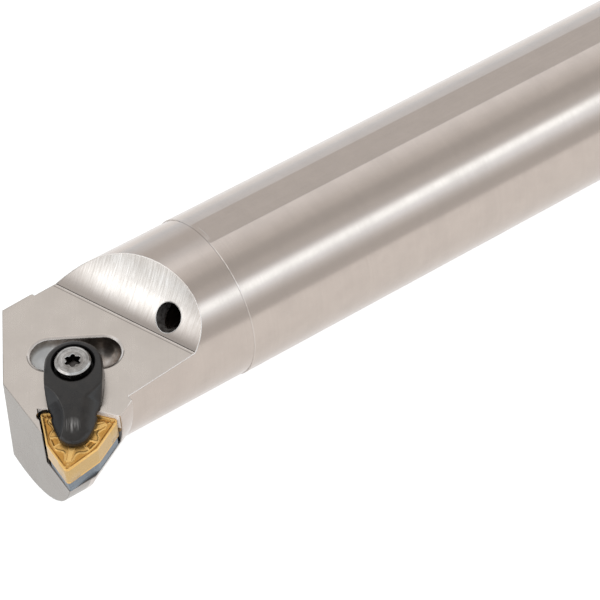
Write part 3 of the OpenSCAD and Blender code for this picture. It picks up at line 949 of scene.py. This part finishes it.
def face_height(radius, turn):
    """The height above the land, for a radius and an angle from the nearest nose."""
    inset = inset_from_edge(radius, turn)
    outer = -TROUGH * smooth(inset, LAND, LAND + TROUGH_SLOPE)
    out = from_ridge(radius, turn)
    boxed = smooth(abs(turn), *BOX_TURNS) * smooth(radius, *BOX_RADII)
    inner = -MESA - (TROUGH - MESA) * boxed
    height = inner + (outer - inner) * smooth(out, *STEP_SIDE)
    crest = math.exp(-((out / RIDGE_WIDE) ** 2)) * smooth(inset, *RIDGE_START)
    height += (-RIDGE_TOP - height) * crest * RIDGE_SHARE
    half = NOSE_RIB_HALF - NOSE_RIB_TAPER * (radius - NOSE_RIB_FROM)
    rib = rib_share(radius, abs(polar(radius, turn)[1]), half, **NOSE_RIB)
    height += (-NOSE_RIB_TOP - height) * rib
    rib = rib_share(radius, abs(polar(radius, abs(turn) - BOX_RIB_TURN)[1]), BOX_RIB_HALF, **BOX_RIB)
    height += (-BOX_RIB_TOP - height) * rib
    x, y = polar(radius, turn)
    for place, side, size, tall in BUMPS:
        bump_x, bump_y = polar(place, side)
        away = (x - bump_x) ** 2 + (y - bump_y) ** 2
        height += tall * math.exp(-(away / size**2) * BUMP_FALL)
    return min(height, 0.0)


print("trough", -face_height(6.6, 20), "mm deep, ridge", -face_height(4.9, 20))

# %% Rings of points
HONE = 0.05
HOLE_BREAK = 0.15
FINE_TURN = 12
FINE_STEP = 0.5
COARSE_COUNT = 80
INNER_COUNT = 40
OUTER_COUNT = 34
INNER_SHARE = 0.66


def insert_turns():
    """Angles round the insert, closer together near each nose."""
    fine = [-FINE_TURN + FINE_STEP * k for k in range(int(2 * FINE_TURN / FINE_STEP))]
    coarse = [FINE_TURN + (120 - 2 * FINE_TURN) * k / COARSE_COUNT for k in range(COARSE_COUNT)]
    return [nose + turn for nose in NOSES for turn in fine + coarse]


def insert_rings():
    """Rings from the hole's upper edge out to the outline, and the same ones back below."""
    turns = insert_turns()
    edges = [outline_radius(nose_turn(a)) for a in turns]
    shares = [k / INNER_COUNT * INNER_SHARE for k in range(1, INNER_COUNT)]
    shares += [INNER_SHARE + k / OUTER_COUNT * (1 - INNER_SHARE) for k in range(OUTER_COUNT)]

    def ring(distance_of, height_of):
        points = []
        for a, edge in zip(turns, edges):
            distance = distance_of(edge)
            points.append(Vector((*polar(distance, a), height_of(distance, nose_turn(a)))))
        return points

    inner = HOLE_R + HOLE_BREAK
    top = [ring(lambda e: HOLE_R, lambda r, t: -MESA - HOLE_BREAK)]
    for share in shares:
        top.append(ring(lambda e, s=share: inner + s * (e - HONE - inner), face_height))
    top.append(ring(lambda e: e - HONE, lambda r, t: 0.0))
    top.append(ring(lambda e: e, lambda r, t: -HONE))
    under = [[Vector((p.x, p.y, -INSERT_THICK - p.z)) for p in points] for points in reversed(top)]
    return top + under


print("points in a ring:", len(insert_turns()))

# %% [markdown]
# The rings are joined into one skin. The first and the last ring close on each other, which makes the wall of
# the hole, and the depth below the land is kept as an attribute, so that the trough can be painted darker as
# painted shade.


# %% Skin over rings
def turn_outwards(mesh):
    form = bmesh.new()
    form.from_mesh(mesh)
    bmesh.ops.recalc_face_normals(form, faces=form.faces)
    form.to_mesh(mesh)
    form.free()
    return mesh


def skin(name, rings, matrix, closed):
    """Join rings of points with faces, closed into a tube end to end or capped at both ends."""
    count = len(rings[0])
    points = [matrix @ (p * MM) for ring in rings for p in ring]
    faces = []
    last = len(rings) if closed else len(rings) - 1
    for k in range(last):
        a = k * count
        b = (k + 1) % len(rings) * count
        for j in range(count):
            n = (j + 1) % count
            faces.append((a + j, a + n, b + n, b + j))
    if not closed:
        faces.append(tuple(range(count)))
        faces.append(tuple((len(rings) - 1) * count + j for j in range(count)))
    mesh = bpy.data.meshes.new(name)
    mesh.from_pydata(points, [], faces)
    return turn_outwards(mesh)


def finish_piece(name, mesh, material, body, node, sharp=32):
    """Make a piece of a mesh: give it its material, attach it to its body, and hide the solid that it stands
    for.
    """
    mesh.materials.clear()
    mesh.materials.append(material)
    mesh.shade_smooth()
    mesh.set_sharp_from_angle(angle=math.radians(sharp))
    piece = put_in_scene(name, mesh)
    if body:
        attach(piece, body)
    if node:
        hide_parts(node)
    print(name, "has", len(mesh.vertices), "points")
    return piece


# %% Gold coat and insert
GOLD_HIGH = srgb(232, 188, 116)
# Painted shade in the trough, laid by depth, and also the colour of random wear.
GOLD_SHADE_AND_WEAR = srgb(190, 138, 66)
GOLD_SIDE = srgb(194, 165, 115)
SIDE_HEIGHTS = (-4.34 * MM, -0.42 * MM)
GOLD_WEAR = 0.22


def make_gold():
    made, tree, surface = start_material("gold_coat", GOLD_HIGH, 0.85, 0.34)
    depth = add(tree, "ShaderNodeAttribute", attribute_name="depth").outputs["Fac"]
    where = place_of(tree, insert_frame)
    grain = noise(tree, where, scale=5200, detail=3.0, roughness=0.6)
    cloud = noise(tree, where, scale=420, detail=3.0, roughness=0.6)
    wear = between(tree, weighed(tree, (cloud, 0.5), (grain, 0.5)), *CLEARER, 0.0, GOLD_WEAR)
    side = inside(tree, split_way(tree, where)["Z"], *SIDE_HEIGHTS)
    looks = {
        "Base Color": layered(tree, GOLD_HIGH, (depth, GOLD_SHADE_AND_WEAR), (side, GOLD_SIDE), (wear, GOLD_SHADE_AND_WEAR)),
        "Roughness": between(tree, grain, *SOFT, 0.24, 0.36),
        "Normal": raise_by(tree, grain, 0.006 * MM, 0.8),
    }
    fill(tree, surface, looks)
    return made


def make_insert():
    rings = insert_rings()
    mesh = skin("insert_piece", rings, insert_frame, closed=True)
    depth = mesh.attributes.new("depth", "FLOAT", "POINT")
    flat = [min(-p.z, INSERT_THICK + p.z) / TROUGH for ring in rings for p in ring]
    depth.data.foreach_set("value", [min(max(v, 0.0), 1.0) for v in flat])
    return finish_piece("insert_piece", mesh, gold, "bar", "insert", sharp=40)


gold = make_gold()
make_insert()

# %% [markdown]
# ## The clamp
# The clamp is a small forged piece with a black oxide coat. The solid has its form with crisp edges, and a
# real forging has none. A fine voxel remesh turns a copy of the solid into one even skin, and smoothing then
# rounds every edge by a few tenths of a millimetre. A Bevel modifier on so many short edges would break, so
# the finish softens the light over them with a Bevel node instead. The die left a shallow hollow with a
# curved edge in one flank, and the skin is lowered there point by point. The hollow is painted darker as
# painted shade, with a line of painted highlight along its edge, a black ring of painted shadow lies round
# the screw's bore, and streaks of painted highlight lie on the nose's top.


# %% Black oxide
CLAMP_ROUND = 0.9 * MM
# Streaks of painted highlight on the nose's top, fading out this far from a point near its tip.
NOSE_HIGHLIGHT_REACH = 1.9 * MM
NOSE_HIGHLIGHT_FULL = 0.2 * MM
NOSE_HIGHLIGHT_RANGE = (0.42, 0.66)
NOSE_HIGHLIGHT_LINES = (260, 3400, 260)
OXIDE_RANGE = (0.36, 0.64)
# A black ring of painted shadow, with less gloss, round the screw's bore.
BORE_SHADOW_RING = (4.2 * MM, 4.8 * MM)
BORE_SHADOW_GLOSS = (0.38, 0.08)
# Inside the flank's arc the oxide is painted darker as painted shade, and a paler line of painted highlight
# runs just outside it.
FLANK_R = 8.9 * MM
FLANK_EDGE = (0.1 * MM, -0.1 * MM)
FLANK_SHADE_SHARE = 0.7
FLANK_LINE = (0.05 * MM, 0.25 * MM)
FLANK_HIGHLIGHT_SHARE = 0.15
OXIDE_DARK = srgb(24, 21, 19)
OXIDE_PALE = srgb(46, 41, 37)
OXIDE_HIGHLIGHT = srgb(150, 147, 144)
FLANK_SHADE = srgb(14, 14, 17)
FLANK_LINE_HIGHLIGHT = srgb(110, 108, 106)
BORE_RING_SHADOW = srgb(8, 7, 7)

flank_frame = clamp_frame @ Matrix.Translation((2 * MM, 11 * MM, 0))
nose_highlight_frame = clamp_frame @ Matrix.Translation((0.4 * MM, 0.2 * MM, 0))


def make_black():
    made, tree, surface = start_material("black_oxide", OXIDE_DARK, 0.0, 0.3)
    where = place_of(tree, clamp_frame)
    grain = noise(tree, where, scale=4200, detail=4.0, roughness=0.65)
    cloud = noise(tree, where, scale=330, detail=4.0, roughness=0.6)
    mottle = between(tree, weighed(tree, (cloud, 0.55), (grain, 0.45)), *OXIDE_RANGE)
    streaks = between(tree, cut_lines(tree, where, NOSE_HIGHLIGHT_LINES, roughness=0.65), *NOSE_HIGHLIGHT_RANGE)
    nose_highlight = times(tree, between(tree, reach_from_axis(tree, nose_highlight_frame), NOSE_HIGHLIGHT_REACH, NOSE_HIGHLIGHT_FULL), streaks)
    from_arc = calc(tree, "SUBTRACT", reach_from_axis(tree, flank_frame), FLANK_R)
    ring = inside(tree, reach_from_axis(tree, screw_frame), *BORE_SHADOW_RING)
    colour = layered(
        tree,
        OXIDE_DARK,
        (mottle, OXIDE_PALE),
        (nose_highlight, OXIDE_HIGHLIGHT),
        (between(tree, from_arc, *FLANK_EDGE, 0.0, FLANK_SHADE_SHARE), FLANK_SHADE),
        (times(tree, inside(tree, from_arc, *FLANK_LINE), FLANK_HIGHLIGHT_SHARE), FLANK_LINE_HIGHLIGHT),
        (ring, BORE_RING_SHADOW),
    )
    looks = {
        "Base Color": colour,
        "Roughness": between(tree, cloud, *SOFT, 0.26, 0.38),
        "Metallic": nose_highlight,
        "Specular IOR Level": between(tree, ring, 0.0, 1.0, *BORE_SHADOW_GLOSS),
        "Normal": raise_by(tree, grain, 0.012 * MM, 0.7, soft_edges(tree, CLAMP_ROUND, 12)),
    }
    fill(tree, surface, looks)
    return made


black = make_black()
print("oxide nodes:", len(black.node_tree.nodes))

# %% Skin of the clamp
CLAMP_VOXEL = 0.13 * MM
CLAMP_SMOOTHING = 14
FLANK_DEEP = 0.24 * MM
FLANK_SLOPE = 0.35 * MM
UPWARDS = (0.1, 0.5)


def merged_copy(node, name):
    """The solids are loose triangles, so a copy has its doubled points merged before it is changed."""
    copy = put_in_scene(name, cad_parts[node].data.copy())
    form = bmesh.new()
    form.from_mesh(copy.data)
    bmesh.ops.remove_doubles(form, verts=form.verts, dist=MM / 1000)
    form.to_mesh(copy.data)
    form.free()
    return copy


def apply_modifiers(thing, name):
    """The evaluated mesh as a plain mesh. The object that carried the modifiers goes."""
    done = thing.evaluated_get(bpy.context.evaluated_depsgraph_get())
    mesh = bpy.data.meshes.new_from_object(done)
    mesh.name = name
    bpy.data.objects.remove(thing)
    return mesh


def sink_flank(mesh):
    """Lower the part of the upper skin that lies inside the arc."""
    to_flank = flank_frame.inverted()
    up = flank_frame.to_3x3() @ Vector((0, 0, 1))
    moved = 0
    for vertex in mesh.vertices:
        place = to_flank @ vertex.co
        inwards = FLANK_R - math.hypot(place.x, place.y)
        share = smooth(inwards, 0.0, FLANK_SLOPE) * smooth(vertex.normal.dot(up), *UPWARDS)
        if share > 0:
            vertex.co -= up * (FLANK_DEEP * share)
            moved += 1
    print("points lowered in the flank:", moved)


def make_clamp():
    rough = merged_copy("clamp", "clamp_copy")
    remesh = rough.modifiers.new("skin", "REMESH")
    remesh.mode = "VOXEL"
    remesh.voxel_size = CLAMP_VOXEL
    soften = rough.modifiers.new("soften", "SMOOTH")
    soften.factor = 0.5
    soften.iterations = CLAMP_SMOOTHING
    mesh = apply_modifiers(rough, "clamp_piece")
    sink_flank(mesh)
    return finish_piece("clamp_piece", mesh, black, "clamp", "clamp", sharp=60)


make_clamp()

# %% [markdown]
# ## The clamp screw
# The screw is turned from bright steel. Its head has a dished top, a chamfered rim and a six-lobe socket, and
# its shank has a thread. A lathe would make all of it but the socket, and the socket is a ring whose radius
# changes with the angle. The whole screw is therefore one stack of rings, each with its own radius, height
# and shape: lobed in the socket, round on the head, and winding down the thread. It is drawn in millimetres.

# %% Shape of the screw
HEAD_R = 3.95
HEAD_TOP = 6.8
HEAD_TALL = 3.0
HEAD_SEAT = HEAD_TOP - HEAD_TALL
RIM_BREAK = 0.4
# The top is dished a little towards the socket, with one turned step. Each pair is a radius and a drop.
DISH = [(2.2, 0.13), (2.3, 0.08), (2.9, 0.05), (3.1, 0.05), (3.16, 0.1), (3.24, 0.1), (3.3, 0.03)]
SOCKET_R = 1.75
SOCKET_WAIST = 1.32
LOBE_R = 0.46
SOCKET_DEEP = 2.2
SOCKET_FLOOR = HEAD_TOP - SOCKET_DEEP
THREAD_R = 2.48
THREAD_DEEP = 0.42
THREAD_PITCH = 0.8
THREAD_FLANK = 1.25
THREAD_CREST = 0.12
SCREW_LONG = 16.0
SCREW_END = HEAD_SEAT - SCREW_LONG
SCREW_SIDES = 144


def lobed(angle, grow=0.0):
    """Radius of the six-lobe socket at an angle in degrees."""
    centre = SOCKET_R - LOBE_R
    ahead, side = polar(centre, (angle + 30) % 60 - 30)
    reach = LOBE_R + grow
    lobe = ahead + math.sqrt(reach * reach - side * side) if abs(side) < reach else 0.0
    return max(lobe, SOCKET_WAIST + grow)


def thread_radius(height, angle):
    phase = (height / THREAD_PITCH - angle / 360) % 1
    return THREAD_R - THREAD_DEEP * min(1, max(0, THREAD_FLANK * (1 - abs(2 * phase - 1)) - THREAD_CREST))


def screw_ring(radius_of, height):
    angles = [360 * k / SCREW_SIDES for k in range(SCREW_SIDES)]
    return [Vector((*polar(radius_of(angle), angle), height)) for angle in angles]


def round_ring(radius, height):
    return screw_ring(lambda angle: radius, height)


print("the socket is", 2 * SOCKET_R, "mm across its lobes")

# %% Rings of the screw
POINT_R = 0.05
DRILL_POINT = 0.55
MOUTH_BREAK = 0.16
SEAT_BREAK = 0.15
NECK_R = THREAD_R + 0.02
NECK_LONG = 1.0
THREAD_FROM = HEAD_SEAT - 1.05
THREAD_LONG = SCREW_LONG - 1.85
RINGS_PER_TURN = 8
RUN_IN = 0.8
END_SHARE = 0.86
END_R = 1.7


def head_rings():
    """From the drill's point under the socket, over the dished top and down to the neck of the screw."""
    return [
        round_ring(POINT_R, SOCKET_FLOOR - DRILL_POINT),
        round_ring(SOCKET_WAIST * 0.95, SOCKET_FLOOR),
        screw_ring(lambda angle: lobed(angle, -0.02), SOCKET_FLOOR),
        screw_ring(lambda angle: lobed(angle), HEAD_TOP - 2 * MOUTH_BREAK),
        screw_ring(lambda angle: lobed(angle, 0.14), HEAD_TOP - MOUTH_BREAK),
        *[round_ring(radius, HEAD_TOP - drop) for radius, drop in DISH],
        round_ring(HEAD_R - RIM_BREAK, HEAD_TOP),
        round_ring(HEAD_R - 0.1, HEAD_TOP - RIM_BREAK * 0.8),
        round_ring(HEAD_R, HEAD_TOP - RIM_BREAK - 0.06),
        round_ring(HEAD_R, HEAD_SEAT + SEAT_BREAK),
        round_ring(HEAD_R - SEAT_BREAK, HEAD_SEAT),
        round_ring(NECK_R, HEAD_SEAT),
        round_ring(NECK_R, HEAD_SEAT - NECK_LONG),
    ]


def thread_rings():
    """From the neck down to the end, where the thread fades out."""
    rings = []
    steps = int((SCREW_LONG - 2.0) / THREAD_PITCH * RINGS_PER_TURN)
    for k in range(steps + 1):
        height = THREAD_FROM - THREAD_LONG * k / steps
        share = END_SHARE + (1 - END_SHARE) * smooth(height, SCREW_END, SCREW_END + RUN_IN)
        rings.append(screw_ring(lambda angle, h=height, s=share: thread_radius(h, angle) * s, height))
    return rings + [round_ring(END_R, SCREW_END)]


print("rings in the head:", len(head_rings()))

# %% Bright steel and clamp screw
STEEL_DARK = srgb(116, 111, 106)
STEEL_PALE = srgb(190, 185, 180)
# The socket is painted darker as painted shade.
SOCKET_SHADE = srgb(70, 66, 63)
SOCKET_REACH = 1.95 * MM
SOCKET_HEIGHTS = ((SOCKET_FLOOR - 0.6) * MM, (HEAD_TOP - 0.30) * MM)


def make_bright():
    made, tree, surface = start_material("bright_steel", STEEL_PALE, 1.0, 0.24)
    where = place_of(tree, screw_frame)
    height = split_way(tree, where)["Z"]
    radius = reach_from_axis(tree, screw_frame)
    joined = add(tree, "ShaderNodeCombineXYZ", {"X": radius, "Y": height})
    turned = noise(tree, joined.outputs[0], scale=5200, detail=3.0, roughness=0.7)
    cloud = noise(tree, where, scale=700, detail=3.0, roughness=0.6)
    mottle = between(tree, weighed(tree, (cloud, 0.4), (turned, 0.6)), *CLEARER)
    in_socket = times(tree, below(tree, radius, SOCKET_REACH), inside(tree, height, *SOCKET_HEIGHTS))
    looks = {
        "Base Color": layered(tree, STEEL_DARK, (mottle, STEEL_PALE), (in_socket, SOCKET_SHADE)),
        "Roughness": between(tree, cloud, *SOFT, 0.18, 0.3),
        "Normal": raise_by(tree, turned, 0.01 * MM),
    }
    fill(tree, surface, looks)
    return made


def make_screw():
    mesh = skin("clamp_screw_piece", head_rings() + thread_rings(), screw_frame, closed=False)
    return finish_piece("clamp_screw_piece", mesh, bright, "clamp_screw", "clamp_screw")


bright = make_bright()
make_screw()

# %% [markdown]
# ## Coils: the clamp's spring and the inlet's thread
# Both follow a helix, which Geometry Nodes draws well: a spiral curve, lifted by a formula so that the end
# coils can lie flat, carries a small profile along it. The tree has named inputs for its sizes, so one tree
# makes the round wire of the spring and the sharp ridge of the pipe thread at the rear.

# %% Coil tree
COIL_SIZES = [
    ("Turns", "NodeSocketFloat", 5.0),
    ("Coil Radius", "NodeSocketFloat", 3.2 * MM),
    ("Wire Radius", "NodeSocketFloat", 0.35 * MM),
    ("Height", "NodeSocketFloat", 6.0 * MM),
    ("Flat Turns", "NodeSocketFloat", 0.75),
    ("Wire Sides", "NodeSocketInt", 12),
    ("Steps", "NodeSocketInt", 32),
]


def make_coil_tree(name, material):
    tree = bpy.data.node_groups.new(name, "GeometryNodeTree")
    for label, kind, value in COIL_SIZES:
        socket = tree.interface.new_socket(label, in_out="INPUT", socket_type=kind)
        socket.default_value = value
    tree.interface.new_socket("Geometry", in_out="OUTPUT", socket_type="NodeSocketGeometry")
    given = add(tree, "NodeGroupInput").outputs
    flat = {"Resolution": given["Steps"], "Rotations": given["Turns"], "Height": 0.0}
    radii = {"Start Radius": given["Coil Radius"], "End Radius": given["Coil Radius"]}
    spiral = add(tree, "GeometryNodeCurveSpiral", {**flat, **radii})
    along = add(tree, "GeometryNodeSplineParameter").outputs["Factor"]
    turn = times(tree, along, given["Turns"])
    risen = largest(tree, calc(tree, "SUBTRACT", turn, given["Flat Turns"]), 0.0)
    span = calc(tree, "MULTIPLY_ADD", given["Flat Turns"], -2.0, given["Turns"])
    share = calc(tree, "MINIMUM", calc(tree, "DIVIDE", risen, span), 1.0)
    lift = add(tree, "ShaderNodeCombineXYZ", {"Z": times(tree, share, given["Height"])}).outputs[0]
    path = add(tree, "GeometryNodeSetPosition", {"Geometry": spiral.outputs["Curve"], "Offset": lift})
    circle = {"Resolution": given["Wire Sides"], "Radius": given["Wire Radius"]}
    profile = add(tree, "GeometryNodeCurvePrimitiveCircle", circle).outputs["Curve"]
    sweep = {"Curve": path.outputs[0], "Profile Curve": profile, "Fill Caps": True}
    swept = add(tree, "GeometryNodeCurveToMesh", sweep).outputs["Mesh"]
    real = add(tree, "GeometryNodeRealizeInstances", {"Geometry": swept}).outputs["Geometry"]
    coat = add(tree, "GeometryNodeSetMaterial", {"Geometry": real, "Material": material})
    add(tree, "NodeGroupOutput", {"Geometry": coat.outputs["Geometry"]})
    return tree


def coil_mesh(name, material, matrix, **sizes):
    """Grow a coil on an empty mesh, make it plain and carry it to its place."""
    tree = make_coil_tree(name, material)
    holder = put_in_scene(name + "_holder", bpy.data.meshes.new(name + "_holder"))
    modifier = holder.modifiers.new("coil", "NODES")
    modifier.node_group = tree
    for item in tree.interface.items_tree:
        if item.in_out == "INPUT" and item.name in sizes:
            modifier[item.identifier] = sizes[item.name]
    mesh = apply_modifiers(holder, name)
    mesh.transform(matrix)
    return turn_outwards(mesh)


print("sizes of a coil:", ", ".join(label for label, _, _ in COIL_SIZES))

# %% Spring
SPRING_FLOOR = FACE_HEIGHT - 5.0 * MM
SPRING_TOP = FACE_HEIGHT + 0.25 * MM
SPRING_WIRE_R = 0.35 * MM
SPRING_COIL_R = 3.2 * MM
SPRING_TURNS = 5.0
WIRE_DARK = srgb(126, 126, 129)
WIRE_PALE = srgb(166, 166, 168)
WIRE_LINES = (900, 900, 6000)


def make_wire_steel():
    made, tree, surface = start_material("spring_steel", WIRE_PALE, 1.0, 0.3)
    drawn = between(tree, cut_lines(tree, place_of(tree, screw_frame), WIRE_LINES), *SOFT)
    looks = {
        "Base Color": blend_colours(tree, drawn, WIRE_DARK, WIRE_PALE),
        "Roughness": between(tree, drawn, 0.0, 1.0, 0.24, 0.38),
    }
    fill(tree, surface, looks)
    return made


def make_spring():
    base = screw_frame @ Matrix.Translation((0, 0, SPRING_FLOOR + SPRING_WIRE_R))
    sizes = {
        "Turns": SPRING_TURNS,
        "Coil Radius": SPRING_COIL_R,
        "Wire Radius": SPRING_WIRE_R,
        "Height": SPRING_TOP - SPRING_FLOOR - 2 * SPRING_WIRE_R,
    }
    mesh = coil_mesh("clamp_spring_piece", wire_steel, base, **sizes)
    spring = finish_piece("clamp_spring_piece", mesh, wire_steel, None, "clamp_spring", 50)
    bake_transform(spring)
    return spring


wire_steel = make_wire_steel()
make_spring()

# %% Thread of the coolant inlet
INLET_R = 5.9 * MM
INLET_LONG = 15.0 * MM
INLET_PITCH = 1.34 * MM
INLET_BARE = 2.4 * MM
RIDGE_R = 0.55 * MM
RIDGE_GAP = 0.02 * MM
REAR_END = 301.73 * MM


def make_inlet_thread():
    turns = int((INLET_LONG - INLET_BARE) / INLET_PITCH)
    start = Matrix.Translation((REAR_END - INLET_LONG, 0, 0)) @ Matrix.Rotation(math.pi / 2, 4, "Y")
    sizes = {
        "Turns": float(turns),
        "Coil Radius": INLET_R - RIDGE_GAP,
        "Wire Radius": RIDGE_R,
        "Height": turns * INLET_PITCH,
        "Flat Turns": 0.0,
        "Wire Sides": 4,
        "Steps": 40,
    }
    mesh = coil_mesh("inlet_thread", nickel, start, **sizes)
    return finish_piece("inlet_thread", mesh, nickel, "bar", None, sharp=25)


make_inlet_thread()

# %% [markdown]
# ## The shim and its screw
# The shim is ground carbide with no coat, blue-grey and a little dull. Grinding leaves fine straight lines on
# its sides. Its screw is hidden under the insert and is plain bright steel.

# %% Shim
CARBIDE_LIGHT = srgb(138, 146, 153)
CARBIDE_DARK = srgb(96, 103, 110)
CARBIDE_LINES = (300, 300, 7000)
SHIM_BREAK = 0.1 * MM


def make_carbide():
    made, tree, surface = start_material("grey_carbide", CARBIDE_LIGHT, 0.7, 0.38)
    where = place_of(tree, insert_frame)
    grain = noise(tree, where, scale=3800, detail=3.0, roughness=0.6)
    mixed = weighed(tree, (grain, 0.5), (cut_lines(tree, where, CARBIDE_LINES), 0.5))
    looks = {
        "Base Color": blend_colours(tree, between(tree, mixed, *CLEARER), CARBIDE_DARK, CARBIDE_LIGHT),
        "Roughness": between(tree, grain, *SOFT, 0.32, 0.44),
        "Normal": raise_by(tree, mixed, 0.005 * MM, 0.8, soft_edges(tree, SHIM_BREAK)),
    }
    fill(tree, surface, looks)
    return made


carbide = make_carbide()
print("carbide nodes:", len(carbide.node_tree.nodes))

# %% Finishes on the solids that stay
FINISHES = {"bar": nickel, "shim": carbide, "shim_screw": bright}
for name, finish in FINISHES.items():
    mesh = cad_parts[name].data
    mesh.materials.clear()
    mesh.materials.append(finish)
print("solids with a finish:", ", ".join(FINISHES))
